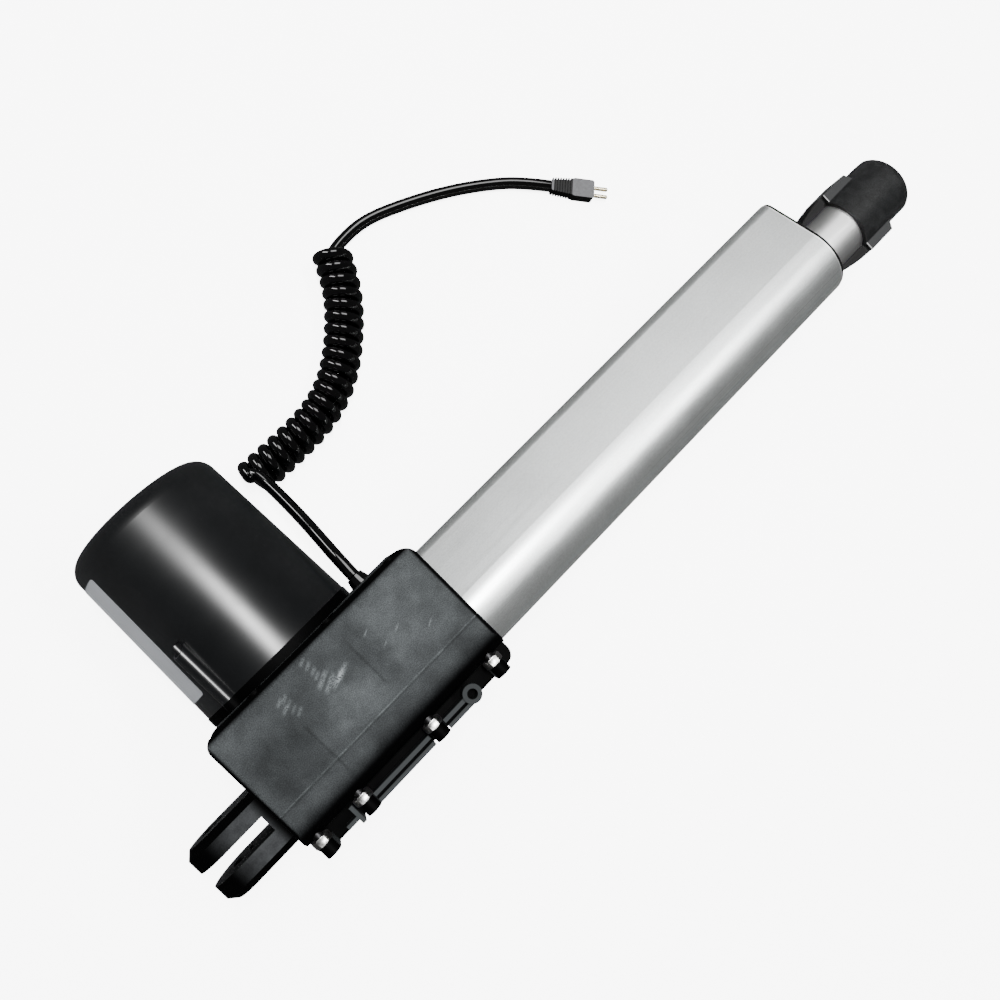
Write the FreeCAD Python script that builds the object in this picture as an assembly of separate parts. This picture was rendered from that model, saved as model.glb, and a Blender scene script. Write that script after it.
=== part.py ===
import FreeCAD, Part

import math
import os

# Lift chair linear actuator: a worm gearbox between a motor at a right angle and a push tube,
# with a rear fork, a front connector and a curly lead. Millimetres. The spindle lies on the X axis while
# the pieces are drawn, with X zero at the front face of the gearbox, Y towards the motor and Z up.
# At the end everything is moved so that the origin is under the middle of the object, on the floor.

# How far a cutting shape runs past the surface it cuts
OVERCUT = 1.0

# Outer tube: a teardrop extrusion, round about the spindle, with a lower edge on the motor side
TUBE_LENGTH = 220.0
TUBE_SOCKET_DEPTH = 28.0
TUBE_CHAMBER_REACH = 14.2
TUBE_EDGE_HALF_HEIGHT = 6.5
TUBE_EDGE_RADIUS = 5.0
TUBE_WALL = 2.2
TUBE_WEB = 1.5
TUBE_SOCKET_CLEARANCE = 0.1

# Stroke and push tube
STROKE = 200.0
PUSH_TUBE_RADIUS = 13.0
PUSH_TUBE_WALL = 1.8
PUSH_TUBE_EXPOSED = 20.0
PUSH_TUBE_TAIL = 14.0
RUNNING_CLEARANCE = 0.05
SLIDING_CLEARANCE = 0.2
GUIDE_WALL = 2.7
GUIDE_RING_LENGTH = 12.0
GUIDE_BUSH_LENGTH = 15.0
END_CAP_THICKNESS = 1.3
END_CAP_INSET = 0.4
SEAL_RADIAL = 1.6

# Spindle, its nut and its bearings
SPINDLE_RADIUS = 6.0
SPINDLE_NUT_LENGTH = 22.0
SPINDLE_STOP_RADIUS = 9.5
SPINDLE_STOP_THICKNESS = 2.5
SPINDLE_STOP_GAP = 2.0
BEARING_RADIUS = 13.0
BEARING_WIDTH = 9.0
BEARING_OUTER_RACE = 2.6
BEARING_INNER_RACE = 1.6
BEARING_BALL_COUNT = 9

# Worm drive: a wheel on the spindle and a worm on the motor shaft, which crosses under the spindle
WHEEL_MODULE = 1.0
WHEEL_TEETH = 34
WHEEL_WIDTH = 9.0
WHEEL_HUB_RADIUS = 9.5
WHEEL_HUB_LENGTH = 14.0
WORM_PITCH_RADIUS = 5.0
WORM_LENGTH = 18.0
WORM_BACKLASH = 0.4
WORM_CREST = 0.9
WORM_TURNS = 4
WORM_PHASE = 0.25
WORM_ROOT_OVERLAP = 0.2
TOOTH_DEDENDUM = 1.25
PRESSURE_ANGLE = 20.0
GEAR_CLEARANCE = 1.6

# Gearbox: two moulded halves that meet in the plane of the spindle
GEARBOX_LENGTH = 104.3
MOTOR_REAR_INSET = 39.0
GEARBOX_TOP = 27.0
GEARBOX_DEPTH_BELOW = 36.0
GEARBOX_MOTOR_SIDE = 38.7
GEARBOX_PLAN_RADIUS = 7.0
GEARBOX_EDGE_RADIUS = 3.0
GEARBOX_SIDE_RADIUS = 5.0
SHOULDER_WALL = 16.0
SHOULDER_RADIUS = 9.0
LEDGE_HEIGHT = 14.0
LEDGE_BELOW = 26.0
LEDGE_EDGE = 24.2
LEDGE_EDGE_RADIUS = 1.2
LEDGE_PLAN_RADIUS = 4.8
PART_LINE_WIDTH = 0.5
PART_LINE_DEPTH = 0.35

# Cable guides and bolt bosses that stand on the ledge of the cover and overhang its edge
GUIDE_REACH = 25.0
GUIDE_TOP = 20.0
GUIDE_FOOT = 8.0
LEDGE_RIB_WIDTH = 1.7
LEDGE_RIB_SLOT_DEPTH = 5.0
LEDGE_RIB_SPACING = 3.0
LEDGE_RIB_MIDDLE = 22.1
LONG_RIB_SPAN = (-75.2, -45.8)
SHORT_RIB_START = -37.8
EYELET_X = -23.0
EYELET_Y = 21.0
EYELET_RADIUS = 3.9
EYELET_HOLE_RADIUS = 2.1
EYELET_RISE = 1.0
HOOK_X = -84.1
HOOK_FOOT = 6.0
HOOK_START = 17.0

# Clamp bolts along Y with nuts on the ledge side
BOLT_RADIUS = 2.0
BOLT_HOLE_CLEARANCE = 0.1
BOLT_HEIGHT = 21.5
BOLT_LOWER_DEPTH = 31.5
BOLT_FRONT_X = -8.7
BOLT_MIDDLE_X = (-78.2, -41.5)
BOLT_REAR_INSET = 5.3
BOLT_LOWER_REAR_INSET = 7.3
BOLT_END = 23.6
BOLT_BOSS_RADIUS = 3.3
NUT_SLOT_CLEARANCE = 0.1
BOLT_HEAD_RADIUS = 3.6
BOLT_HEAD_LENGTH = 4.0
BOLT_POCKET_DEPTH = 6.0
NUT_ACROSS_FLATS = 7.0
NUT_THICKNESS = 3.2

# Rear fork
FORK_PIN_SETBACK = 22.4
FORK_HALF_HEIGHT = 14.5
FORK_WIDTH = 26.0
FORK_SLOT = 7.2
FORK_SLOT_DEPTH = 32.0
FORK_CHAMFER = 3.0
FORK_PIN_HOLE = 10.2
FORK_SHANK_RADIUS = 13.0
FORK_COLLAR_RADIUS = 16.0
FORK_COLLAR_LENGTH = 4.0
FORK_SHANK_LENGTH = 7.0

# Front connector
CONNECTOR_RADIUS = 14.8
CONNECTOR_LENGTH = 34.2
CONNECTOR_SOCKET = 10.0
CONNECTOR_NOSE_RADIUS = 5.5
CONNECTOR_FLAT_WIDTH = 28.0
CONNECTOR_FLAT_LENGTH = 21.0
CONNECTOR_PIN_SETBACK = 10.5
CONNECTOR_PIN_HOLE = 10.2
CHEEK_OUTER = 16.4
CHEEK_START = 0.5
CHEEK_LENGTH = 17.0
CHEEK_TAPER = 2.5
CHEEK_HALF_HEIGHT = 8.0
WING_LENGTH = 16.0
WING_TIP_THICKNESS = 0.9
WING_BULGE = 0.5
WING_HALF_HEIGHT = 6.0
CROSS_PIN_RADIUS = 2.0
CROSS_PIN_SETBACK = 5.0

# Key on the guide ring, which runs in a slot of the outer tube's web and passes under the limit switches
KEY_WIDTH = 5.0
KEY_REACH = 3.4
KEY_CLEARANCE = 0.3

# Limit switches in the edge of the outer tube
SWITCH_BOARD_THICKNESS = 1.4
SWITCH_BOARD_LENGTH = 216.0
SWITCH_BOARD_CLEARANCE = 0.2
SWITCH_LENGTH = 12.8
SWITCH_THICKNESS = 5.0
SWITCH_HEIGHT = 5.8
SWITCH_BUTTON_RADIUS = 1.0
SWITCH_BUTTON_LENGTH = 0.7

# Motor
MOTOR_FLANGE_RADIUS = 37.8
MOTOR_FLANGE_THICKNESS = 4.0
MOTOR_FLANGE_CONE = 16.0
MOTOR_FLANGE_NECK_RADIUS = 26.0
COVER_RADIUS = 37.4
COVER_LENGTH = 80.3
COVER_END_RADIUS = 34.7
COVER_END_ROUND = 8.0
COVER_WALL = 2.2
COVER_RIB_ANGLE = 37.0
COVER_RIB_RADIUS = 3.5
COVER_RIB_CENTRE = 37.6
COVER_RIB_LENGTH = 29.0
COVER_RIB_SLANT = 5.0
CAN_RADIUS = 31.6
CAN_WALL = 1.8
CAN_LENGTH = 68.0
MAGNET_THICKNESS = 5.0
MAGNET_ARC = 130.0
MAGNET_LENGTH = 36.0
AIR_GAP = 0.8
SHAFT_RADIUS = 3.0
SHAFT_FRONT = 14.0
MOTOR_BUSH_RADIUS = 8.0
MOTOR_BUSH_LENGTH = 5.0
TAIL_BUSH_RADIUS = 6.0
TAIL_BUSH_LENGTH = 5.0
ARMATURE_LENGTH = 32.0
ARMATURE_START = 12.0
ARMATURE_SLOTS = 8
ARMATURE_SLOT_WIDTH = 4.0
ARMATURE_SLOT_DEPTH = 8.0
COMMUTATOR_RADIUS = 9.0
COMMUTATOR_LENGTH = 10.0
COMMUTATOR_GAP = 3.0
BRUSH_LENGTH = 9.0
BRUSH_SECTION = 5.0
BRUSH_PLATE_THICKNESS = 2.5
BRUSH_TUBE_WALL = 1.2
BRUSH_TUBE_SETBACK = 1.0
MOTOR_SCREW_RADIUS = 1.7
MOTOR_SCREW_HEAD_RADIUS = 2.6
MOTOR_SCREW_HEAD_LENGTH = 2.4
MOTOR_SCREW_GRIP = 7.0

# Lead: straight out of the gearbox, a curly coil on the floor, a tail and a small two-pin plug
CORD_DIAMETER = 5.4
ARC_SHARE = 0.45
COIL_DIAMETER = 18.6
GLAND_GAP = 1.2
GLAND_Z = -12.0
GLAND_RADIUS = 4.6
GLAND_TIP_RADIUS = 3.6
GLAND_LENGTH = 4.0
GLAND_SEAT = 3.0
PLUG_GRIP_LENGTH = 10.5
PLUG_GRIP_WIDTH = 6.4
PLUG_GRIP_END_WIDTH = 8.6
PLUG_BLOCK_LENGTH = 11.0
PLUG_BLOCK_WIDTH = 9.0
PLUG_HEIGHT = 6.2
PLUG_CORNER_RADIUS = 1.2
PLUG_RIB_COUNT = 7
PLUG_RIB_DEPTH = 0.7
PIN_RADIUS = 0.95
PIN_LENGTH = 7.5
PIN_SPACING = 3.8
PIN_ROOT = 4.0
# Route points: x from the gland, y from the spindle and the cord's middle over the floor
LEAD_ROUTE = [(0.0, 42.7, 47.8), (0.5, 53.0, 46.0), (1.5, 63.2, 39.4), (2.5, 74.2, 31.2),
              (3.1, 85.6, 23.4), (3.3, 96.2, 18.2), (2.8, 105.6, 16.2)]
COIL_ROUTE = [(-0.3, 104.5, 9.3), (23.7, 104.0, 9.3), (41.2, 105.0, 9.3), (56.2, 109.7, 9.3),
              (67.7, 117.0, 9.3), (78.2, 126.0, 9.3), (87.7, 136.0, 9.3), (94.2, 146.0, 9.3),
              (99.0, 155.7, 9.3)]
TAIL_ROUTE = [(91.7, 143.0, 2.8), (103.7, 160.0, 2.8), (122.7, 158.5, 2.8), (142.2, 151.8, 2.8),
              (162.7, 142.6, 2.8), (180.2, 132.2, 2.8), (193.7, 122.0, 2.9), (203.9, 110.5, 3.1)]

# Worked out from the values above
CENTRE_DISTANCE = WHEEL_MODULE * WHEEL_TEETH / 2 + WORM_PITCH_RADIUS
MOTOR_X = MOTOR_REAR_INSET - GEARBOX_LENGTH
MOTOR_Z = -CENTRE_DISTANCE
GLAND_X = MOTOR_X + MOTOR_FLANGE_RADIUS + GLAND_GAP + GLAND_RADIUS
FLOOR = CENTRE_DISTANCE + MOTOR_FLANGE_RADIUS
TUBE_END = TUBE_LENGTH
TUBE_BORE = PUSH_TUBE_RADIUS + GUIDE_WALL
TUBE_RADIUS = TUBE_BORE + TUBE_WALL
TUBE_REACH = TUBE_RADIUS + TUBE_CHAMBER_REACH
CAP_FRONT = TUBE_END + END_CAP_THICKNESS
CONNECTOR_REAR = CAP_FRONT + PUSH_TUBE_EXPOSED
CONNECTOR_FRONT = CONNECTOR_REAR + CONNECTOR_LENGTH
FORK_PIN_X = -GEARBOX_LENGTH - FORK_PIN_SETBACK
FORK_TIP = FORK_PIN_X - FORK_HALF_HEIGHT
COVER_START = GEARBOX_MOTOR_SIDE + MOTOR_FLANGE_THICKNESS
COVER_END = COVER_START + COVER_LENGTH
CAN_START = COVER_START
CAN_END = CAN_START + CAN_LENGTH
ARMATURE_RADIUS = CAN_RADIUS - CAN_WALL - MAGNET_THICKNESS - AIR_GAP
ARMATURE_END = CAN_START + ARMATURE_START + ARMATURE_LENGTH
COMMUTATOR_START = ARMATURE_END + COMMUTATOR_GAP
REAR_BEARING_X = -GEARBOX_LENGTH + FORK_SHANK_LENGTH + FORK_COLLAR_LENGTH
FRONT_BEARING_X = MOTOR_X + WHEEL_HUB_LENGTH / 2
SPINDLE_NUT_FRONT = SPINDLE_NUT_LENGTH - PUSH_TUBE_TAIL
SPINDLE_STOP_X = SPINDLE_NUT_FRONT + STROKE + SPINDLE_STOP_GAP
WHEEL_TIP_RADIUS = WHEEL_MODULE * (WHEEL_TEETH / 2 + 1)
GUIDE_BOTTOM = LEDGE_HEIGHT - GUIDE_FOOT
KEY_TOP = TUBE_BORE + TUBE_WEB + KEY_REACH
SWITCH_FACE_Y = KEY_TOP + KEY_CLEARANCE + SWITCH_BUTTON_LENGTH
SWITCH_BOARD_Y = SWITCH_FACE_Y + SWITCH_THICKNESS
SWITCH_BOARD_START = (TUBE_END - TUBE_SOCKET_DEPTH - SWITCH_BOARD_LENGTH) / 2
SWITCH_BOARD_END = SWITCH_BOARD_START + SWITCH_BOARD_LENGTH
PLACE = FreeCAD.Vector(-(FORK_TIP + CONNECTOR_FRONT) / 2, -(COVER_END - GUIDE_REACH) / 2, FLOOR)

V = FreeCAD.Vector
X_AXIS = V(1, 0, 0)
Y_AXIS = V(0, 1, 0)
Z_AXIS = V(0, 0, 1)


def rod(radius, start, end, axis=X_AXIS, centre=V(0, 0, 0)):
    """A cylinder from start to end along an axis through centre."""
    return Part.makeCylinder(radius, end - start, centre + axis * start, axis)


def ring(outer, inner, start, end, axis=X_AXIS, centre=V(0, 0, 0)):
    """A tube from start to end along an axis through centre."""
    return rod(outer, start, end, axis, centre).cut(rod(inner, start - OVERCUT, end + OVERCUT, axis, centre))


def box(x, y, z):
    """A box between pairs of limits."""
    return Part.makeBox(x[1] - x[0], y[1] - y[0], z[1] - z[0], V(x[0], y[0], z[0]))


def rounded_face(corners):
    """A face whose corners, each a point and a radius, are rounded by tangent arcs."""
    edges = []
    starts = []
    ends = []
    count = len(corners)
    for i, (point, radius) in enumerate(corners):
        back = (corners[i - 1][0] - point).normalize()
        ahead = (corners[(i + 1) % count][0] - point).normalize()
        half = back.getAngle(ahead) / 2
        reach = radius / math.tan(half)
        starts.append(point + back * reach)
        ends.append(point + ahead * reach)
        if radius > 0:
            middle = (back + ahead).normalize() * (radius / math.sin(half) - radius)
            edges.append(Part.Arc(starts[i], point + middle, ends[i]).toShape())
    for i in range(count):
        edges.append(Part.makeLine(ends[i], starts[(i + 1) % count]))
    return Part.Face(Part.Wire(Part.sortEdges(edges)[0]))


def teardrop(inset, start, end):
    """A prism of the outer tube's section, drawn in by an inset."""
    radius = TUBE_RADIUS - inset
    edge_radius = TUBE_EDGE_RADIUS - inset
    edge = V(0, TUBE_REACH - TUBE_EDGE_RADIUS, TUBE_EDGE_HALF_HEIGHT - TUBE_EDGE_RADIUS)
    lean = math.atan2(edge.z, edge.y) + math.acos((radius - edge_radius) / edge.Length)
    normal = V(0, math.cos(lean), math.sin(lean))
    on_round = normal * radius
    on_edge = edge + normal * edge_radius
    side = edge + V(0, edge_radius, 0)
    bulge = edge + V(0, math.cos(lean / 2), math.sin(lean / 2)) * edge_radius

    def mirrored(p):
        return V(p.x, p.y, -p.z)

    wire = Part.Wire([
        Part.Arc(mirrored(on_round), V(0, -radius, 0), on_round).toShape(),
        Part.makeLine(on_round, on_edge),
        Part.Arc(on_edge, bulge, side).toShape(),
        Part.makeLine(side, mirrored(side)),
        Part.Arc(mirrored(side), mirrored(bulge), mirrored(on_edge)).toShape(),
        Part.makeLine(mirrored(on_edge), mirrored(on_round)),
    ])
    prism = Part.Face(wire).extrude(V(end - start, 0, 0))
    prism.translate(V(start, 0, 0))
    return prism


def teardrop_half_height(inset, y):
    """Half the height of the drawn-in section at a distance y from the spindle, on its flat flank."""
    radius = TUBE_RADIUS - inset
    edge_radius = TUBE_EDGE_RADIUS - inset
    edge = V(0, TUBE_REACH - TUBE_EDGE_RADIUS, TUBE_EDGE_HALF_HEIGHT - TUBE_EDGE_RADIUS)
    lean = math.atan2(edge.z, edge.y) + math.acos((radius - edge_radius) / edge.Length)
    return (radius - y * math.cos(lean)) / math.sin(lean)


def motor_point(y, radius=0.0, angle=0.0):
    """A point about the motor axis. The angle is counted from straight up towards the rear."""
    turn = math.radians(angle)
    return V(MOTOR_X - radius * math.sin(turn), y, MOTOR_Z + radius * math.cos(turn))


def motor_rod(radius, start, end):
    return rod(radius, start, end, Y_AXIS, motor_point(0))


def motor_ring(outer, inner, start, end):
    return ring(outer, inner, start, end, Y_AXIS, motor_point(0))


def bolt_places():
    """Where the clamp bolts cross the gearbox: x and z."""
    upper = [(x, BOLT_HEIGHT) for x in (BOLT_REAR_INSET - GEARBOX_LENGTH,) + BOLT_MIDDLE_X + (BOLT_FRONT_X,)]
    lower = [(x, -BOLT_LOWER_DEPTH) for x in (BOLT_LOWER_REAR_INSET - GEARBOX_LENGTH, BOLT_FRONT_X)]
    return upper + lower


def gearbox_block():
    """The outside of both halves: three rounded profiles that cut one another."""
    side = rounded_face([
        (V(0, GEARBOX_MOTOR_SIDE, -GEARBOX_DEPTH_BELOW), GEARBOX_SIDE_RADIUS),
        (V(0, GEARBOX_MOTOR_SIDE, GEARBOX_TOP), GEARBOX_SIDE_RADIUS),
        (V(0, -SHOULDER_WALL, GEARBOX_TOP), SHOULDER_RADIUS),
        (V(0, -SHOULDER_WALL, LEDGE_HEIGHT), 0),
        (V(0, -LEDGE_EDGE, LEDGE_HEIGHT), LEDGE_EDGE_RADIUS),
        (V(0, -LEDGE_EDGE, -LEDGE_BELOW), LEDGE_EDGE_RADIUS),
        (V(0, -SHOULDER_WALL, -LEDGE_BELOW), 0),
        (V(0, -SHOULDER_WALL, -GEARBOX_DEPTH_BELOW), SHOULDER_RADIUS),
    ]).extrude(V(-GEARBOX_LENGTH, 0, 0))
    plan = rounded_face([
        (V(x, y, -GEARBOX_DEPTH_BELOW), radius)
        for x, y, radius in ((-GEARBOX_LENGTH, -LEDGE_EDGE, LEDGE_PLAN_RADIUS),
                             (0, -LEDGE_EDGE, LEDGE_PLAN_RADIUS),
                             (0, GEARBOX_MOTOR_SIDE, GEARBOX_PLAN_RADIUS),
                             (-GEARBOX_LENGTH, GEARBOX_MOTOR_SIDE, GEARBOX_PLAN_RADIUS))
    ]).extrude(V(0, 0, GEARBOX_TOP + GEARBOX_DEPTH_BELOW))
    front = rounded_face([
        (V(x, -LEDGE_EDGE, z), GEARBOX_EDGE_RADIUS)
        for x, z in ((-GEARBOX_LENGTH, -GEARBOX_DEPTH_BELOW), (0, -GEARBOX_DEPTH_BELOW), (0, GEARBOX_TOP),
                     (-GEARBOX_LENGTH, GEARBOX_TOP))
    ]).extrude(V(0, LEDGE_EDGE + GEARBOX_MOTOR_SIDE, 0))
    return side.common(plan).common(front)


def motor_flange():
    """The round seat of the motor, carried on a cone that runs into the gearbox."""
    neck_start = COVER_START - MOTOR_FLANGE_THICKNESS - MOTOR_FLANGE_CONE
    cone = Part.makeCone(MOTOR_FLANGE_NECK_RADIUS, MOTOR_FLANGE_RADIUS, MOTOR_FLANGE_CONE,
                         motor_point(neck_start), Y_AXIS)
    disc = motor_rod(MOTOR_FLANGE_RADIUS, GEARBOX_MOTOR_SIDE, COVER_START)
    bosses = [rod(COVER_RIB_RADIUS, GEARBOX_MOTOR_SIDE, COVER_START, Y_AXIS,
                  motor_point(0, COVER_RIB_CENTRE, COVER_RIB_ANGLE + turn)) for turn in (0, 180)]
    return cone.fuse([disc] + bosses)


def gearbox_hollows():
    """Everything that is hollow in the two halves: gear room, bearing seats, sockets and bolt holes."""
    wheel_room = WHEEL_TIP_RADIUS + GEAR_CLEARANCE
    worm_room = WORM_PITCH_RADIUS + WHEEL_MODULE + GEAR_CLEARANCE
    half_hub = WHEEL_HUB_LENGTH / 2
    worm_end = -SHAFT_FRONT + TAIL_BUSH_LENGTH
    hollows = [
        rod(wheel_room, MOTOR_X - half_hub, MOTOR_X + half_hub),
        rod(BEARING_RADIUS, REAR_BEARING_X, MOTOR_X - half_hub),
        rod(BEARING_RADIUS, FRONT_BEARING_X, FRONT_BEARING_X + BEARING_WIDTH),
        rod(PUSH_TUBE_RADIUS - PUSH_TUBE_WALL, FRONT_BEARING_X, 0),
        rod(FORK_SHANK_RADIUS, -GEARBOX_LENGTH, REAR_BEARING_X),
        rod(FORK_COLLAR_RADIUS, REAR_BEARING_X - FORK_COLLAR_LENGTH, REAR_BEARING_X),
        teardrop(-TUBE_SOCKET_CLEARANCE, -TUBE_SOCKET_DEPTH, 1),
        motor_rod(worm_room, worm_end, COVER_START - MOTOR_BUSH_LENGTH),
        motor_rod(TAIL_BUSH_RADIUS, -SHAFT_FRONT, worm_end),
        motor_rod(MOTOR_BUSH_RADIUS, COVER_START - MOTOR_BUSH_LENGTH, COVER_START),
        rod(GLAND_TIP_RADIUS, GEARBOX_MOTOR_SIDE - GLAND_SEAT, GEARBOX_MOTOR_SIDE + OVERCUT, Y_AXIS,
            V(GLAND_X, 0, GLAND_Z)),
    ]
    for x, z in bolt_places():
        hollows.append(rod(BOLT_RADIUS + BOLT_HOLE_CLEARANCE, -LEDGE_EDGE - OVERCUT,
                           GEARBOX_MOTOR_SIDE, Y_AXIS, V(x, 0, z)))
        hollows.append(rod(BOLT_HEAD_RADIUS + BOLT_HOLE_CLEARANCE, GEARBOX_MOTOR_SIDE - BOLT_POCKET_DEPTH,
                           GEARBOX_MOTOR_SIDE + OVERCUT, Y_AXIS, V(x, 0, z)))
    for turn in (0, 180):
        hollows.append(rod(MOTOR_SCREW_RADIUS, COVER_START - MOTOR_SCREW_GRIP, COVER_START + OVERCUT, Y_AXIS,
                           motor_point(0, COVER_RIB_CENTRE, COVER_RIB_ANGLE + turn)))
    return hollows


def part_line():
    """A shallow groove round the outside where the halves meet."""
    groove = box((-GEARBOX_LENGTH - OVERCUT, OVERCUT), (-PART_LINE_WIDTH / 2, PART_LINE_WIDTH / 2),
                 (-GEARBOX_DEPTH_BELOW - OVERCUT, GEARBOX_TOP + OVERCUT))
    core = box((-GEARBOX_LENGTH + PART_LINE_DEPTH, -PART_LINE_DEPTH), (-1, 1),
               (-GEARBOX_DEPTH_BELOW + PART_LINE_DEPTH, GEARBOX_TOP - PART_LINE_DEPTH))
    return groove.cut(core)


def ledge_guides():
    """Cable guides moulded on the ledge: a long and a short double rib, an eyelet and a hook."""
    half = LEDGE_RIB_WIDTH / 2
    across = (LEDGE_RIB_SPACING + LEDGE_RIB_WIDTH) / 2
    slot = (LEDGE_RIB_SPACING - LEDGE_RIB_WIDTH) / 2
    height = (GUIDE_BOTTOM, GUIDE_TOP)
    slot_height = (GUIDE_TOP - LEDGE_RIB_SLOT_DEPTH, GUIDE_TOP + OVERCUT)
    guides = []
    slots = []
    for span in (LONG_RIB_SPAN, (SHORT_RIB_START, EYELET_X)):
        guides.append(box(span, (-LEDGE_RIB_MIDDLE - across, -LEDGE_RIB_MIDDLE + across), height))
        slots.append(box((span[0] - OVERCUT, span[1] + OVERCUT),
                         (-LEDGE_RIB_MIDDLE - slot, -LEDGE_RIB_MIDDLE + slot), slot_height))
    guides.append(box((HOOK_X - half, HOOK_X + half), (-GUIDE_REACH, -HOOK_START), height))
    guides.append(box((HOOK_X - HOOK_FOOT, HOOK_X),
                      (-LEDGE_RIB_MIDDLE - half, -LEDGE_RIB_MIDDLE + half), height))
    eyelet_place = V(EYELET_X, -EYELET_Y, 0)
    eyelet_top = GUIDE_TOP + EYELET_RISE
    eyelet = rod(EYELET_RADIUS, GUIDE_BOTTOM, eyelet_top, Z_AXIS, eyelet_place)
    hole = rod(EYELET_HOLE_RADIUS, LEDGE_HEIGHT, eyelet_top + OVERCUT, Z_AXIS, eyelet_place)
    return guides[0].cut(slots).fuse([guide.cut(slots) for guide in guides[1:]] + [eyelet]).cut(hole)


def bolt_bosses():
    """A round boss behind each nut, on a foot that stands on the ledge, so that the nut is trapped."""
    start = -LEDGE_EDGE
    end = -SHOULDER_WALL - NUT_THICKNESS - NUT_SLOT_CLEARANCE
    bosses = []
    for x, z in bolt_places():
        ledge = GUIDE_BOTTOM if z > 0 else -LEDGE_BELOW + GUIDE_FOOT
        bosses.append(rod(BOLT_BOSS_RADIUS, start, end, Y_AXIS, V(x, 0, z)))
        bosses.append(box((x - BOLT_BOSS_RADIUS, x + BOLT_BOSS_RADIUS), (start, end), sorted((ledge, z))))
    return bosses


def gearbox_halves():
    block = gearbox_block().fuse([motor_flange(), ledge_guides()] + bolt_bosses())
    block = block.cut(gearbox_hollows() + [part_line()])
    reach = 2 * GEARBOX_LENGTH
    motor_half = block.common(box((-reach, reach), (0, reach), (-reach, reach)))
    cover_half = block.common(box((-reach, reach), (-reach, 0), (-reach, reach)))
    return motor_half.removeSplitter(), cover_half.removeSplitter()


def clamp_bolts():
    bolts = []
    for x, z in bolt_places():
        seat = GEARBOX_MOTOR_SIDE - BOLT_POCKET_DEPTH
        shank = rod(BOLT_RADIUS, -BOLT_END, seat, Y_AXIS, V(x, 0, z))
        head = rod(BOLT_HEAD_RADIUS, seat, seat + BOLT_HEAD_LENGTH, Y_AXIS, V(x, 0, z))
        bolts.append(shank.fuse(head).removeSplitter())
    return Part.makeCompound(bolts)


def clamp_nuts():
    nuts = []
    corner = NUT_ACROSS_FLATS / math.sqrt(3)
    for x, z in bolt_places():
        hexagon = [V(x + corner * math.cos(k * math.pi / 3), -SHOULDER_WALL - NUT_THICKNESS,
                     z + corner * math.sin(k * math.pi / 3)) for k in range(6)]
        nut = Part.Face(Part.makePolygon(hexagon + hexagon[:1])).extrude(V(0, NUT_THICKNESS, 0))
        nuts.append(nut.cut(rod(BOLT_RADIUS, -BOLT_END, 0, Y_AXIS, V(x, 0, z))))
    return Part.makeCompound(nuts)


def rear_fork():
    """Two prongs with a round end and bevelled outer edges, on a shank that the gearbox halves grip."""
    half = FORK_WIDTH / 2
    outline = Part.Wire([
        Part.makeLine(V(-GEARBOX_LENGTH, -half, -FORK_HALF_HEIGHT), V(FORK_PIN_X, -half, -FORK_HALF_HEIGHT)),
        Part.Arc(V(FORK_PIN_X, -half, -FORK_HALF_HEIGHT), V(FORK_TIP, -half, 0),
                 V(FORK_PIN_X, -half, FORK_HALF_HEIGHT)).toShape(),
        Part.makeLine(V(FORK_PIN_X, -half, FORK_HALF_HEIGHT), V(-GEARBOX_LENGTH, -half, FORK_HALF_HEIGHT)),
        Part.makeLine(V(-GEARBOX_LENGTH, -half, FORK_HALF_HEIGHT),
                      V(-GEARBOX_LENGTH, -half, -FORK_HALF_HEIGHT)),
    ])
    block = Part.Face(outline).extrude(V(0, FORK_WIDTH, 0))
    rim = [e for e in block.Edges
           if abs(abs(e.CenterOfMass.y) - half) < 0.01 and e.BoundBox.XMax - e.BoundBox.XMin > 1]
    block = block.makeChamfer(FORK_CHAMFER, rim)
    slot_floor = FORK_TIP + FORK_SLOT_DEPTH
    slot = box((FORK_TIP - OVERCUT, slot_floor), (-FORK_SLOT / 2, FORK_SLOT / 2),
               (-FORK_HALF_HEIGHT - OVERCUT, FORK_HALF_HEIGHT + OVERCUT))
    pin_hole = rod(FORK_PIN_HOLE / 2, -half - OVERCUT, half + OVERCUT, Y_AXIS, V(FORK_PIN_X, 0, 0))
    shank = rod(FORK_SHANK_RADIUS, -GEARBOX_LENGTH, REAR_BEARING_X - FORK_COLLAR_LENGTH)
    collar = rod(FORK_COLLAR_RADIUS, REAR_BEARING_X - FORK_COLLAR_LENGTH, REAR_BEARING_X)
    return block.cut([slot, pin_hole]).fuse([shank, collar]).removeSplitter()


def bearing(start):
    """A ball bearing: outer race, inner race and balls."""
    middle = start + BEARING_WIDTH / 2
    outer_inside = BEARING_RADIUS - BEARING_OUTER_RACE
    inner_outside = SPINDLE_RADIUS + BEARING_INNER_RACE
    ball_radius = (outer_inside - inner_outside) / 2
    track = (outer_inside + inner_outside) / 2
    outer = ring(BEARING_RADIUS, outer_inside, start, start + BEARING_WIDTH)
    inner = ring(inner_outside, SPINDLE_RADIUS, start, start + BEARING_WIDTH)
    balls = []
    for k in range(BEARING_BALL_COUNT):
        turn = 2 * math.pi * k / BEARING_BALL_COUNT
        centre = V(middle, track * math.cos(turn), track * math.sin(turn))
        balls.append(Part.makeSphere(ball_radius - RUNNING_CLEARANCE, centre))
    return outer, inner, Part.makeCompound(balls)


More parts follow.
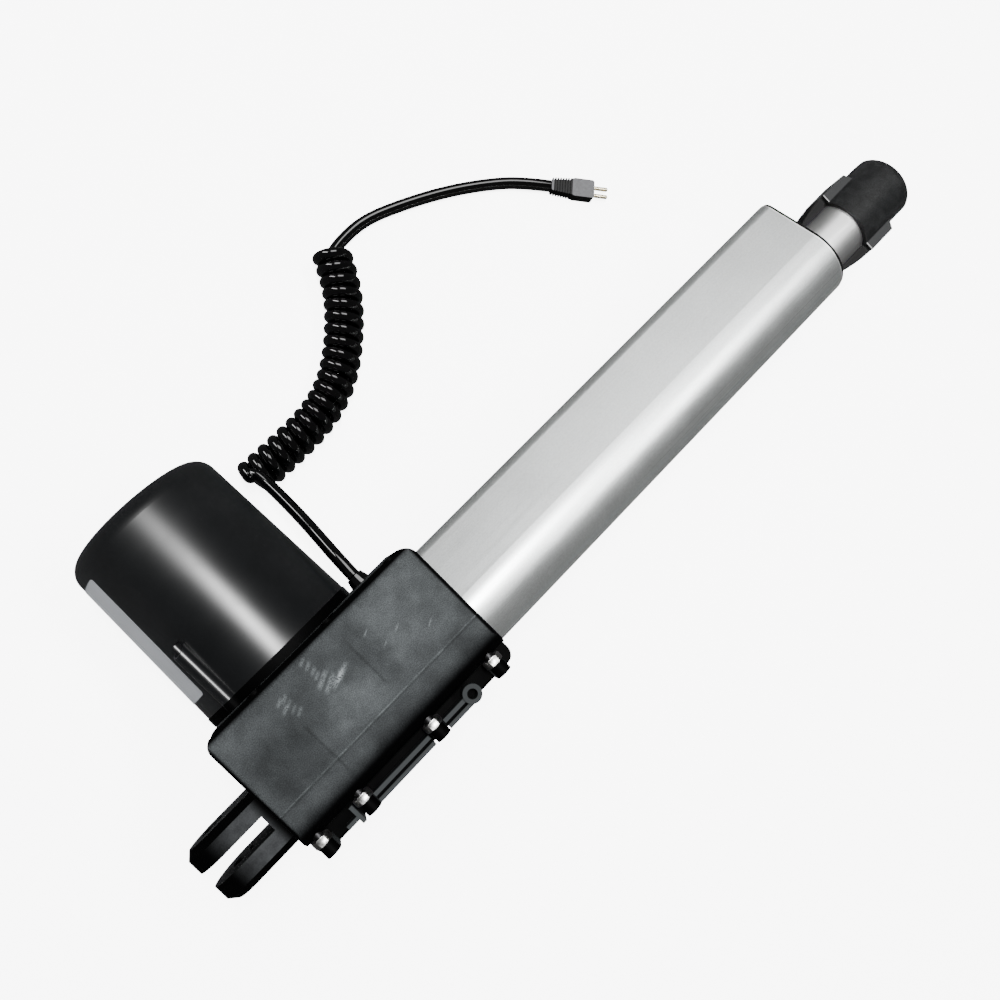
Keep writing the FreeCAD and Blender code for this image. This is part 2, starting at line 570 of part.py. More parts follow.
def worm_wheel():
    """A helical wheel with straight-flanked teeth, cut across the worm's lead angle, on a hub."""
    pitch_radius = WHEEL_MODULE * WHEEL_TEETH / 2
    root = pitch_radius - TOOTH_DEDENDUM * WHEEL_MODULE
    half_tooth = math.pi / WHEEL_TEETH / 2 - WORM_BACKLASH / 2 / pitch_radius
    slope = math.tan(math.radians(PRESSURE_ANGLE))
    lead_slope = WHEEL_MODULE / (2 * WORM_PITCH_RADIUS)

    def section(x):
        twist = lead_slope * (x - MOTOR_X) / pitch_radius
        points = []
        for k in range(WHEEL_TEETH):
            for radius, side in ((root, -1), (WHEEL_TIP_RADIUS, -1), (WHEEL_TIP_RADIUS, 1), (root, 1)):
                half = half_tooth - (radius - pitch_radius) * slope / pitch_radius
                turn = 2 * math.pi * k / WHEEL_TEETH + side * half + twist
                points.append(V(x, -radius * math.sin(turn), -radius * math.cos(turn)))
        return Part.makePolygon(points + points[:1])

    rim = Part.makeLoft([section(MOTOR_X - WHEEL_WIDTH / 2), section(MOTOR_X + WHEEL_WIDTH / 2)], True, True)
    hub = rod(WHEEL_HUB_RADIUS, MOTOR_X - WHEEL_HUB_LENGTH / 2, MOTOR_X + WHEEL_HUB_LENGTH / 2)
    return rim.fuse(hub).cut(rod(SPINDLE_RADIUS, MOTOR_X - WHEEL_HUB_LENGTH, MOTOR_X + WHEEL_HUB_LENGTH))


def worm_thread():
    """The worm's one left-hand thread, a straight-flanked ridge swept along a helix about the motor axis.

    It starts a quarter turn from the top, so that a gap faces the lowest tooth of the wheel.
    """
    pitch = math.pi * WHEEL_MODULE
    root = WORM_PITCH_RADIUS - TOOTH_DEDENDUM * WHEEL_MODULE
    crest = WORM_PITCH_RADIUS + WORM_CREST * WHEEL_MODULE
    slope = math.tan(math.radians(PRESSURE_ANGLE))
    half = (pitch - WORM_BACKLASH) / 4
    helix = Part.makeHelix(pitch, WORM_TURNS * pitch, root, 0, True)
    sunk = root - WORM_ROOT_OVERLAP
    corners = [V(radius, 0, side * (half - (radius - WORM_PITCH_RADIUS) * slope))
               for radius, side in ((sunk, -1), (crest, -1), (crest, 1), (sunk, 1))]
    section = Part.makePolygon(corners + corners[:1])
    thread = Part.Wire(helix.Edges).makePipeShell([section], True, True)
    thread.rotate(V(0, 0, 0), X_AXIS, -90)
    thread.translate(motor_point((WORM_PHASE - WORM_TURNS // 2) * pitch))
    return thread


def worm_shaft():
    """The motor shaft, with the worm turned on it under the wheel."""
    shaft = motor_rod(SHAFT_RADIUS, -SHAFT_FRONT, CAN_END)
    worm = motor_rod(WORM_PITCH_RADIUS - TOOTH_DEDENDUM * WHEEL_MODULE, -WORM_LENGTH / 2, WORM_LENGTH / 2)
    return shaft.fuse([worm, worm_thread()]).removeSplitter()


def outer_tube():
    """The extrusion: a round bore for the push tube, a slotted web, and a chamber for the limit switches."""
    start = -TUBE_SOCKET_DEPTH
    body = teardrop(0, start, TUBE_END)
    bore = rod(TUBE_BORE, start - OVERCUT, TUBE_END + OVERCUT)
    web = rod(TUBE_BORE + TUBE_WEB, start - 2 * OVERCUT, TUBE_END + 2 * OVERCUT)
    chamber = teardrop(TUBE_WALL, start - OVERCUT, TUBE_END + OVERCUT).cut(web)
    slot_half = KEY_WIDTH / 2 + KEY_CLEARANCE
    slot = box((start - OVERCUT, TUBE_END + OVERCUT), (TUBE_BORE - OVERCUT, TUBE_BORE + TUBE_WEB + OVERCUT),
               (-slot_half, slot_half))
    return body.cut([bore, chamber, slot])


def tube_end_cap():
    cap = teardrop(END_CAP_INSET, TUBE_END, CAP_FRONT)
    seal_room = PUSH_TUBE_RADIUS + RUNNING_CLEARANCE + SEAL_RADIAL
    return cap.cut(rod(seal_room, TUBE_END - OVERCUT, CAP_FRONT + OVERCUT))


def front_connector():
    """A round socket for the push tube with a rounded nose, flats at the pin hole, cheeks and wings."""
    body = rod(CONNECTOR_RADIUS, CONNECTOR_REAR, CONNECTOR_FRONT)
    nose = [e for e in body.Edges if abs(e.BoundBox.XMin - CONNECTOR_FRONT) < 0.01 and e.Closed]
    body = body.makeFillet(CONNECTOR_NOSE_RADIUS, nose)
    flat = CONNECTOR_FLAT_WIDTH / 2
    flat_start = CONNECTOR_FRONT - CONNECTOR_FLAT_LENGTH
    for y in ((flat, CONNECTOR_RADIUS + OVERCUT), (-CONNECTOR_RADIUS - OVERCUT, -flat)):
        body = body.cut(box((flat_start, CONNECTOR_FRONT + OVERCUT), y,
                            (-CONNECTOR_RADIUS, CONNECTOR_RADIUS)))
    root = CONNECTOR_REAR + CHEEK_START
    front = root + CHEEK_LENGTH
    tip = root - WING_LENGTH
    inner = PUSH_TUBE_RADIUS - OVERCUT
    for side in (-1, 1):
        cheek = Part.Face(Part.makePolygon([
            V(root, side * inner, -CHEEK_HALF_HEIGHT),
            V(root, side * CHEEK_OUTER, -CHEEK_HALF_HEIGHT),
            V(front - CHEEK_TAPER, side * CHEEK_OUTER, -CHEEK_HALF_HEIGHT),
            V(front, side * inner, -CHEEK_HALF_HEIGHT),
            V(root, side * inner, -CHEEK_HALF_HEIGHT),
        ])).extrude(V(0, 0, 2 * CHEEK_HALF_HEIGHT))
        wing_root = V(root, side * CHEEK_OUTER, -WING_HALF_HEIGHT)
        wing_tip = V(tip, side * (PUSH_TUBE_RADIUS + WING_TIP_THICKNESS), -WING_HALF_HEIGHT)
        bulge = (wing_root + wing_tip) * 0.5 + V(0, side * WING_BULGE, 0)
        wing = Part.Face(Part.Wire([
            Part.Arc(wing_root, bulge, wing_tip).toShape(),
            Part.makeLine(wing_tip, V(tip, side * inner, -WING_HALF_HEIGHT)),
            Part.makeLine(V(tip, side * inner, -WING_HALF_HEIGHT), V(root, side * inner, -WING_HALF_HEIGHT)),
            Part.makeLine(V(root, side * inner, -WING_HALF_HEIGHT), wing_root),
        ])).extrude(V(0, 0, 2 * WING_HALF_HEIGHT))
        body = body.fuse([cheek, wing])
    socket = rod(PUSH_TUBE_RADIUS, tip - OVERCUT, CONNECTOR_REAR + CONNECTOR_SOCKET)
    pin_hole = rod(CONNECTOR_PIN_HOLE / 2, -CHEEK_OUTER - OVERCUT, CHEEK_OUTER + OVERCUT, Y_AXIS,
                   V(CONNECTOR_FRONT - CONNECTOR_PIN_SETBACK, 0, 0))
    return body.cut([socket, pin_hole, cross_pin()]).removeSplitter()


def cross_pin():
    """The pin that holds the connector on the push tube."""
    return rod(CROSS_PIN_RADIUS, -CHEEK_OUTER, CHEEK_OUTER, Y_AXIS,
               V(CONNECTOR_REAR + CROSS_PIN_SETBACK, 0, 0))


def push_tube():
    tube = ring(PUSH_TUBE_RADIUS, PUSH_TUBE_RADIUS - PUSH_TUBE_WALL, -PUSH_TUBE_TAIL,
                CONNECTOR_REAR + CONNECTOR_SOCKET)
    return tube.cut(cross_pin())


def guide_ring():
    """The ring that guides the push tube's inner end, with the key that keeps it from turning."""
    start = -PUSH_TUBE_TAIL
    end = start + GUIDE_RING_LENGTH
    body = rod(TUBE_BORE - SLIDING_CLEARANCE, start, end)
    key = box((start, end), (0, KEY_TOP), (-KEY_WIDTH / 2, KEY_WIDTH / 2))
    return body.fuse(key).cut(rod(PUSH_TUBE_RADIUS, start - OVERCUT, end + OVERCUT)).removeSplitter()


def switch_board():
    far = SWITCH_BOARD_Y + SWITCH_BOARD_THICKNESS
    half = teardrop_half_height(TUBE_WALL, far) - SWITCH_BOARD_CLEARANCE
    return box((SWITCH_BOARD_START, SWITCH_BOARD_END), (SWITCH_BOARD_Y, far), (-half, half))


def limit_switches():
    """A switch at each end of the board, with its button towards the key."""
    switches = []
    for x in (SWITCH_BOARD_START, SWITCH_BOARD_END - SWITCH_LENGTH):
        body = box((x, x + SWITCH_LENGTH), (SWITCH_FACE_Y, SWITCH_BOARD_Y),
                   (-SWITCH_HEIGHT / 2, SWITCH_HEIGHT / 2))
        button = rod(SWITCH_BUTTON_RADIUS, SWITCH_FACE_Y - SWITCH_BUTTON_LENGTH, SWITCH_FACE_Y, Y_AXIS,
                     V(x + SWITCH_LENGTH / 2, 0, 0))
        switches.append(body.fuse(button))
    return Part.makeCompound(switches)


def motor_cover():
    """A drawn-in cup with a rounded end, and two half-round ribs that take the motor screws."""
    def cup(inset, start):
        radius = COVER_RADIUS - inset
        end_radius = COVER_END_RADIUS - inset
        end = COVER_END - inset
        face = rounded_face([
            (V(MOTOR_X, start, MOTOR_Z), 0),
            (V(MOTOR_X + radius, start, MOTOR_Z), 0),
            (V(MOTOR_X + end_radius, end, MOTOR_Z), COVER_END_ROUND - inset),
            (V(MOTOR_X, end, MOTOR_Z), 0),
        ])
        return face.revolve(motor_point(0), Y_AXIS, 360)

    shell = cup(0, COVER_START)
    reach = COVER_RIB_RADIUS + OVERCUT
    for turn in (0, 180):
        centre = motor_point(0, COVER_RIB_CENTRE, COVER_RIB_ANGLE + turn)
        outward = (centre - motor_point(0)).normalize()
        rib = rod(COVER_RIB_RADIUS, COVER_START, COVER_START + COVER_RIB_LENGTH, Y_AXIS, centre)
        top = centre + outward * reach
        base = centre - outward * reach
        across = outward.cross(Y_AXIS) * reach
        wedge_end = COVER_START + COVER_RIB_LENGTH
        wedge = Part.Face(Part.makePolygon([
            top - across + V(0, wedge_end - COVER_RIB_SLANT, 0),
            top - across + V(0, wedge_end + OVERCUT, 0),
            base - across + V(0, wedge_end + OVERCUT, 0),
            base - across + V(0, wedge_end, 0),
            top - across + V(0, wedge_end - COVER_RIB_SLANT, 0),
        ])).extrude(across * 2)
        shell = shell.fuse(rib.cut(wedge))
    shell = shell.cut(cup(COVER_WALL, COVER_START - OVERCUT))
    for turn in (0, 180):
        centre = motor_point(0, COVER_RIB_CENTRE, COVER_RIB_ANGLE + turn)
        shell = shell.cut(screw_shape(centre, BOLT_HOLE_CLEARANCE, COVER_RIB_SLANT))
    return shell.removeSplitter()


def screw_shape(centre, clearance, pocket):
    """A motor screw, or the hole for one with a clearance and a pocket above its head."""
    seat = COVER_START + COVER_RIB_LENGTH - COVER_RIB_SLANT - MOTOR_SCREW_HEAD_LENGTH
    shank = rod(MOTOR_SCREW_RADIUS + clearance, COVER_START - MOTOR_SCREW_GRIP, seat, Y_AXIS, centre)
    head = rod(MOTOR_SCREW_HEAD_RADIUS + clearance, seat, seat + MOTOR_SCREW_HEAD_LENGTH + pocket,
               Y_AXIS, centre)
    return shank.fuse(head)


def motor_screws():
    screws = [screw_shape(motor_point(0, COVER_RIB_CENTRE, COVER_RIB_ANGLE + turn), 0, 0)
              for turn in (0, 180)]
    return Part.makeCompound(screws)


def motor_can():
    shell = motor_rod(CAN_RADIUS, CAN_START, CAN_END)
    room = motor_rod(CAN_RADIUS - CAN_WALL, CAN_START + CAN_WALL, CAN_END - CAN_WALL)
    bores = motor_rod(MOTOR_BUSH_RADIUS, CAN_START - OVERCUT, CAN_END + OVERCUT)
    return shell.cut([room, bores])


def motor_magnets():
    outer = CAN_RADIUS - CAN_WALL
    start = CAN_START + ARMATURE_START - (MAGNET_LENGTH - ARMATURE_LENGTH) / 2
    magnets = []
    for turn in (0, 180):
        profile = Part.makeCylinder(outer, MAGNET_LENGTH, motor_point(start), Y_AXIS, MAGNET_ARC)
        profile.rotate(motor_point(0), Y_AXIS, turn)
        magnets.append(profile.cut(motor_rod(outer - MAGNET_THICKNESS, start - OVERCUT,
                                             start + MAGNET_LENGTH + OVERCUT)))
    return Part.makeCompound(magnets)


def armature():
    """The laminated core with its winding slots."""
    start = CAN_START + ARMATURE_START
    core = motor_ring(ARMATURE_RADIUS, SHAFT_RADIUS, start, ARMATURE_END)
    slots = []
    for k in range(ARMATURE_SLOTS):
        slot = box((MOTOR_X - ARMATURE_SLOT_WIDTH / 2, MOTOR_X + ARMATURE_SLOT_WIDTH / 2),
                   (start - OVERCUT, ARMATURE_END + OVERCUT),
                   (MOTOR_Z + ARMATURE_RADIUS - ARMATURE_SLOT_DEPTH, MOTOR_Z + ARMATURE_RADIUS + OVERCUT))
        slot.rotate(motor_point(0), Y_AXIS, 360.0 * k / ARMATURE_SLOTS)
        slots.append(slot)
    return core.cut(slots)


def commutator():
    return motor_ring(COMMUTATOR_RADIUS, SHAFT_RADIUS, COMMUTATOR_START, COMMUTATOR_START + COMMUTATOR_LENGTH)


def brush_box(grow, side):
    """A carbon brush beside the commutator, or the outside of its guide when grown by a wall."""
    half = BRUSH_SECTION / 2 + grow
    middle = COMMUTATOR_START + COMMUTATOR_LENGTH / 2
    near = COMMUTATOR_RADIUS + RUNNING_CLEARANCE + (BRUSH_TUBE_SETBACK if grow else 0.0)
    far = COMMUTATOR_RADIUS + RUNNING_CLEARANCE + BRUSH_LENGTH
    limits = sorted((MOTOR_X + side * near, MOTOR_X + side * far))
    return box(limits, (middle - half, middle + half), (MOTOR_Z - half, MOTOR_Z + half))


def brushes():
    return Part.makeCompound([brush_box(0, side) for side in (-1, 1)])


def brush_holder():
    """A ring plate behind the commutator with a guide for each brush."""
    start = COMMUTATOR_START + COMMUTATOR_LENGTH / 2 + BRUSH_SECTION / 2 + BRUSH_TUBE_WALL
    plate = motor_ring(CAN_RADIUS - CAN_WALL, COMMUTATOR_RADIUS + BRUSH_TUBE_SETBACK, start,
                       start + BRUSH_PLATE_THICKNESS)
    guides = [brush_box(BRUSH_TUBE_WALL, side) for side in (-1, 1)]
    return plate.fuse(guides).cut([brush_box(0, side) for side in (-1, 1)])


def motor_bush(start, outer, length):
    return motor_ring(outer, SHAFT_RADIUS + RUNNING_CLEARANCE, start, start + length)


def floor_points(route):
    return [V(GLAND_X + x, y, height - FLOOR) for x, y, height in route]


def cord_tube(name, route, diameter):
    """A tube of straight runs joined by tangent arcs, each as large as its two runs allow."""
    points = floor_points(route)
    edges = []
    at = points[0]
    radii = []
    for before, corner, after in zip(points, points[1:], points[2:]):
        back = (before - corner).normalize()
        ahead = (after - corner).normalize()
        half = back.getAngle(ahead) / 2
        reach = ARC_SHARE * min(before.distanceToPoint(corner), corner.distanceToPoint(after))
        radius = reach * math.tan(half)
        middle = corner + (back + ahead).normalize() * (radius / math.sin(half) - radius)
        start = corner + back * reach
        end = corner + ahead * reach
        edges.append(Part.LineSegment(at, start).toShape())
        edges.append(Part.Arc(start, middle, end).toShape())
        at = end
        radii.append(radius)
    edges.append(Part.LineSegment(at, points[-1]).toShape())
    path = Part.Wire(edges)
    heading = (points[1] - points[0]).normalize()
    section = Part.Wire(Part.makeCircle(diameter / 2, points[0], heading))
    tube = path.makePipeShell([section], True, False)
    expected = math.pi * diameter ** 2 / 4 * path.Length
    print(name, "length", round(path.Length, 1), "radii", [round(r, 1) for r in radii],
          "volume ratio", round(tube.Volume / expected, 4))
    return tube


def cord_gland():
    """A short tapered collar where the lead leaves the gearbox."""
    centre = V(GLAND_X, 0, GLAND_Z)
    seat = rod(GLAND_TIP_RADIUS, GEARBOX_MOTOR_SIDE - GLAND_SEAT, GEARBOX_MOTOR_SIDE, Y_AXIS, centre)
    collar = Part.makeCone(GLAND_RADIUS, GLAND_TIP_RADIUS, GLAND_LENGTH,
                           centre + Y_AXIS * GEARBOX_MOTOR_SIDE, Y_AXIS)
    return seat.fuse(collar)


def plug_frame(shape):
    """Turns a plug piece drawn along X from its cord end to where the tail ends."""
    points = floor_points(TAIL_ROUTE)
    heading = points[-1] - points[-2]
    shape.rotate(V(0, 0, 0), Z_AXIS, math.degrees(math.atan2(heading.y, heading.x)))
    shape.translate(V(points[-1].x, points[-1].y, PLUG_HEIGHT / 2 - FLOOR))
    return shape


def plug_body():
    """A ribbed grip that runs into a wider flat block."""
    half_height = PLUG_HEIGHT / 2
    grip_end = PLUG_GRIP_LENGTH
    end = grip_end + PLUG_BLOCK_LENGTH

    def outline(near, far, start, finish):
        corners = ((start, -near), (finish, -far), (finish, far), (start, near))
        face = rounded_face([(V(x, y, -half_height), PLUG_CORNER_RADIUS) for x, y in corners])
        return face.extrude(V(0, 0, PLUG_HEIGHT))

    grip = outline(PLUG_GRIP_WIDTH / 2, PLUG_GRIP_END_WIDTH / 2, 0, grip_end + 2 * PLUG_CORNER_RADIUS)
    block = outline(PLUG_BLOCK_WIDTH / 2, PLUG_BLOCK_WIDTH / 2, grip_end, end)
    body = grip.fuse(block)
    pitch = PLUG_GRIP_LENGTH / (PLUG_RIB_COUNT + 1)
    for k in range(PLUG_RIB_COUNT):
        x = pitch * (k + 1)
        gap = (x - pitch / 4, x + pitch / 4)
        flare = (PLUG_GRIP_END_WIDTH - PLUG_GRIP_WIDTH) / 2 * x / PLUG_GRIP_LENGTH
        for side in (-1, 1):
            limits = sorted((side * (PLUG_GRIP_WIDTH / 2 + flare - PLUG_RIB_DEPTH), side * PLUG_BLOCK_WIDTH))
            body = body.cut(box(gap, limits, (-half_height - OVERCUT, half_height + OVERCUT)))
        body = body.cut(box(gap, (-PLUG_BLOCK_WIDTH, PLUG_BLOCK_WIDTH),
                            (half_height - PLUG_RIB_DEPTH, half_height + OVERCUT)))
    for y in (-PIN_SPACING / 2, PIN_SPACING / 2):
        body = body.cut(rod(PIN_RADIUS, end - PIN_ROOT, end + OVERCUT, X_AXIS, V(0, y, 0)))
    return plug_frame(body)


def plug_pins():
    end = PLUG_GRIP_LENGTH + PLUG_BLOCK_LENGTH
    pins = [rod(PIN_RADIUS, end - PIN_ROOT, end + PIN_LENGTH, X_AXIS, V(0, y, 0))
            for y in (-PIN_SPACING / 2, PIN_SPACING / 2)]
    return plug_frame(Part.makeCompound(pins))


def build():
    motor_half, cover_half = gearbox_halves()
    rear_outer, rear_inner, rear_balls = bearing(REAR_BEARING_X)
    front_outer, front_inner, front_balls = bearing(FRONT_BEARING_X)
    bore = PUSH_TUBE_RADIUS + RUNNING_CLEARANCE
    return {
        "gearbox_housing": motor_half,
        "gearbox_cover": cover_half,
        "clamp_bolts": clamp_bolts(),
        "clamp_nuts": clamp_nuts(),
        "rear_fork": rear_fork(),
        "rear_bearing_outer_race": rear_outer,
        "rear_bearing_inner_race": rear_inner,
        "rear_bearing_balls": rear_balls,
        "front_bearing_outer_race": front_outer,
        "front_bearing_inner_race": front_inner,
        "front_bearing_balls": front_balls,
        "worm_wheel": worm_wheel(),
        "spindle": rod(SPINDLE_RADIUS, REAR_BEARING_X, SPINDLE_STOP_X + SPINDLE_STOP_THICKNESS),
        "spindle_end_stop": ring(SPINDLE_STOP_RADIUS, SPINDLE_RADIUS, SPINDLE_STOP_X,
                                 SPINDLE_STOP_X + SPINDLE_STOP_THICKNESS),
        "drive_nut": ring(PUSH_TUBE_RADIUS - PUSH_TUBE_WALL, SPINDLE_RADIUS + RUNNING_CLEARANCE,
                          -PUSH_TUBE_TAIL, SPINDLE_NUT_FRONT),
        "outer_tube": outer_tube(),
        "tube_end_cap": tube_end_cap(),
        "guide_bush": ring(TUBE_BORE, bore, TUBE_END - GUIDE_BUSH_LENGTH, TUBE_END),
        "wiper_seal": ring(bore + SEAL_RADIAL, bore, TUBE_END, CAP_FRONT),
        "push_tube": push_tube(),
        "push_tube_guide_ring": guide_ring(),
        "front_connector": front_connector(),
        "connector_cross_pin": cross_pin(),
        "limit_switch_board": switch_board(),
        "limit_switches": limit_switches(),
        "motor_cover": motor_cover(),
        "motor_screws": motor_screws(),
        "motor_can": motor_can(),
        "motor_magnets": motor_magnets(),
        "armature": armature(),
        "commutator": commutator(),
        "carbon_brushes": brushes(),
        "brush_holder": brush_holder(),
        "worm_shaft": worm_shaft(),
        "motor_front_bush": motor_bush(COVER_START - MOTOR_BUSH_LENGTH, MOTOR_BUSH_RADIUS, MOTOR_BUSH_LENGTH),
        "motor_rear_bush": motor_bush(CAN_END - MOTOR_BUSH_LENGTH, MOTOR_BUSH_RADIUS, MOTOR_BUSH_LENGTH),
        "worm_tail_bush": motor_bush(-SHAFT_FRONT, TAIL_BUSH_RADIUS, TAIL_BUSH_LENGTH),
        "cord_gland": cord_gland(),
        "cord_lead": cord_tube("lead", LEAD_ROUTE, CORD_DIAMETER),
        "cord_coil": cord_tube("coil", COIL_ROUTE, COIL_DIAMETER),
        "cord_tail": cord_tube("tail", TAIL_ROUTE, CORD_DIAMETER),
        "plug_body": plug_body(),
        "plug_pins": plug_pins(),
    }


os.makedirs("parts", exist_ok=True)
for node, shape in build().items():
    shape.translate(PLACE)
    shape.exportStep(f"parts/{node}.step")
    state = "valid" if shape.isValid() else "NOT VALID"
    print(node, len(shape.Solids), "solids", round(shape.Volume, 1), "mm3", state)
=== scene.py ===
import math

import bpy
from bpy.props import FloatProperty, FloatVectorProperty, IntProperty, PointerProperty
from mathutils import Matrix, Quaternion, Vector


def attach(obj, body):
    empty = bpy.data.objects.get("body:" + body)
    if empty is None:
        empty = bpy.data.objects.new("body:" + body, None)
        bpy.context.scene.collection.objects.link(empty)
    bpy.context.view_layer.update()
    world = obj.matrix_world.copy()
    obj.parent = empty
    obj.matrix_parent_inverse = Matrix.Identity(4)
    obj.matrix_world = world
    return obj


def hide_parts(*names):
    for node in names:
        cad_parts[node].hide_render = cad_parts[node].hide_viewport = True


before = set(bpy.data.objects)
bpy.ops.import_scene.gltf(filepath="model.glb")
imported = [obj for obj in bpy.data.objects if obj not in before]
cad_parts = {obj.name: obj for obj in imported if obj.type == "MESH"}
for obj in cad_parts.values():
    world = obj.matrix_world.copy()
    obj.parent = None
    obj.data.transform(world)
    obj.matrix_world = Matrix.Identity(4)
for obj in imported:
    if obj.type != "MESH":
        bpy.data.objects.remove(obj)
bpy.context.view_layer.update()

bl_info = {
    "name": "Lift chair actuator",
    "version": (1, 0, 0),
    "blender": (4, 5, 0),
    "location": "3D View > Sidebar > Actuator",
    "description": "Dresses a lift chair linear actuator: finishes, fasteners, curly lead and a plain studio",
    "category": "Object",
}

# The lead's route in metres: out of the gearbox, along the middle of the coil, and on to the plug
LEAD_ROUTE = [(-0.08885, -0.0063, 0.0478), (-0.08835, 0.0040, 0.0460), (-0.08735, 0.0142, 0.0394),
              (-0.08635, 0.0252, 0.0312), (-0.08575, 0.0366, 0.0234), (-0.08555, 0.0472, 0.0182),
              (-0.08605, 0.0566, 0.0162)]
COIL_ROUTE = [(-0.08915, 0.0555, 0.0093), (-0.06515, 0.0550, 0.0093), (-0.04765, 0.0560, 0.0093),
              (-0.03265, 0.0607, 0.0093), (-0.02115, 0.0680, 0.0093), (-0.01065, 0.0770, 0.0093),
              (-0.00115, 0.0870, 0.0093), (0.00535, 0.0970, 0.0093), (0.01015, 0.1067, 0.0093)]
TAIL_ROUTE = [(0.01685, 0.1090, 0.0028), (0.03385, 0.1095, 0.0028), (0.05335, 0.1028, 0.0028),
              (0.07385, 0.0936, 0.0028), (0.09135, 0.0832, 0.0028), (0.10485, 0.0730, 0.0029),
              (0.11505, 0.0615, 0.0031)]

# Axes of the mechanism in metres
SPINDLE_Y = -0.049
MOTOR_X = -0.13245
MOTOR_Z = 0.0378

# Heights and ends of the mouldings in metres, and the motor cover's two radii and length
GEARBOX_TOP = 0.0868
GUIDE_TOP = 0.0798
CHEEK_TOP = 0.0678
CHEEK_REAR = 0.17465
TUBE_FRONT = 0.15285
GEARBOX_REAR = -0.17145
COVER_START = -0.0063
COVER_TAPER = (0.0374, 0.0347, 0.0803)

# Clamp bolts in metres: places over the seam's plan, and the ends of heads, nuts and shanks along Y
BOLT_PLACES = [(-0.16615, 0.0813), (-0.14535, 0.0813), (-0.10865, 0.0813), (-0.07585, 0.0813),
               (-0.16415, 0.0283), (-0.07585, 0.0283)]
BOLT_TIP = -0.0726
BOLT_SEAT = -0.0163
NUT_BACK = -0.065
NUT_CHAMFER = 0.0006
BORE_OVERRUN = 0.001

# Motor screws in metres: their circle about the motor, its turn from upright, and their ends along Y
SCREW_CIRCLE = 0.0376
SCREW_TURN = math.radians(37.0)
SCREW_TIP = -0.0133
SCREW_SEAT = 0.0153

# Shares of a fastener's radius, or of its head, that shape it
TIP_CHAMFER = 0.3
HEAD_ROUND = 0.28
RECESS_WIDTH = 1.25
RECESS_DEPTH = 0.55
RECESS_ARM = 0.24
RECESS_TAPER = 0.55
THREAD_START = 0.35
THREAD_DEPTH = 0.11
BORE_CLEARANCE = 1.02
PIN_ROUND = 0.75

# How near a vertex lies to a plane in metres, and the angles under which faces are shaded smooth
NEAR = 1e-6
FASTENER_SMOOTH = math.radians(32)
LABEL_SMOOTH = math.radians(30)

# Label on the motor cover: ends along Y, corners and thickness in metres, and its sides about the motor
LABEL_ENDS = (0.002, 0.063)
LABEL_SIDES = (math.radians(50.5), math.radians(97.0))
LABEL_CORNER = 0.0015
LABEL_THICKNESS = 0.00015

# Plug in metres: where the lead enters it, its heading, and the lengths of its collar, grip and block
PLUG_START = TAIL_ROUTE[-1]
PLUG_TURN = math.atan2(TAIL_ROUTE[-1][1] - TAIL_ROUTE[-2][1], TAIL_ROUTE[-1][0] - TAIL_ROUTE[-2][0])
PLUG_COLLAR = (0.0011, 0.0014)
PLUG_GRIP = 0.0105
PLUG_GRIP_EDGE = 0.0002
PLUG_LENGTH = 0.0215

# Smudges on the gearbox's top in metres: middle, half sizes and tone
SMUDGES = [((-0.1535, -0.0385), (0.012, 0.012), 0.62), ((-0.1190, -0.0570), (0.010, 0.006), 0.68),
           ((-0.0790, -0.0550), (0.007, 0.005), 0.70), ((-0.0860, -0.0300), (0.016, 0.016), 1.6),
           ((-0.1205, -0.0400), (0.012, 0.008), 1.65), ((-0.1640, -0.0170), (0.006, 0.006), 1.20)]
SMUDGE_SOFT = 0.006

# Painted shade in creases on the gearbox's top, as dark lines, in metres: place along X and ends along Y
CREASE_SHADES = [(-0.1095, -0.0428, -0.0227), (-0.1412, -0.0560, -0.0320)]
CREASE_SHADE_HALF = 0.0005
CREASE_SHADE_SOFT = (0.0005, 0.003)

# Scuffs on the gearbox's top in metres: places, length, width and tone
SCUFFS = [([(-0.1251, -0.0250), (-0.1239, -0.0278), (-0.1211, -0.0287), (-0.1181, -0.0282)],
           0.0066, 0.0017, 2.6),
          ([(-0.1257, -0.0151), (-0.1252, -0.0177), (-0.1250, -0.0203), (-0.1253, -0.0225)],
           0.0032, 0.0013, 2.1),
          ([(-0.1416, -0.0198), (-0.1392, -0.0201), (-0.1394, -0.0226), (-0.1393, -0.0252),
            (-0.1386, -0.0273), (-0.1420, -0.0233)],
           0.0034, 0.0012, 2.0),
          ([(-0.0926, -0.0309), (-0.1021, -0.0241), (-0.0826, -0.0385), (-0.1002, -0.0324)],
           0.0030, 0.0006, 2.0)]
SCUFF_TURN = math.radians(26.0)

# Where a finish changes in metres, from the top, the seam or the end that it is named for; the top, side,
# fork and wing fades and the seam's shadow set where painted shade begins
LEDGE_SHADE_FADE = (0.006, 0.0015)
FAR_SIDE_SHADE_FADE = (0.0125, 0.004)
SEAM_SHADOW = 0.0007
FORK_ROOT_SHADOW = (0.006, 0.002)
FORK_TIP_SHADE = (0.028, 0.012)
TUBE_LOWER = (0.013, 0.008)
WING_SHADE_FADE = (0.0014, 0.0008)
COVER_WORN = 0.015

# Half widths and softness in metres of the bands in a finish; the rim bands hold painted highlights, and the
# cheek band the cheeks' tops painted lighter as if lit
SEAM_BAND = (0.0003, 0.0002)
GUIDE_BAND = (0.0012, 0.0004)
TUBE_RIM_HIGHLIGHT_BAND = (0.0006, 0.0002)
CHEEK_TOP_LIGHT_BAND = (0.001, 0.0003)
CHEEK_RIM_HIGHLIGHT_BAND = (0.00045, 0.0002)

# Upward lean between which a surface counts as more than steep, as a top, as level, or as a cheek's face
LEAN_STEEP = (0.1, 0.4)
LEAN_TOP = (0.8, 0.99)
LEAN_LEVEL = (0.9, 0.98)
LEAN_CHEEK = (0.9, 0.97)

# Middle part of a noise's values
NOISE_MIDDLE = (0.3, 0.7)

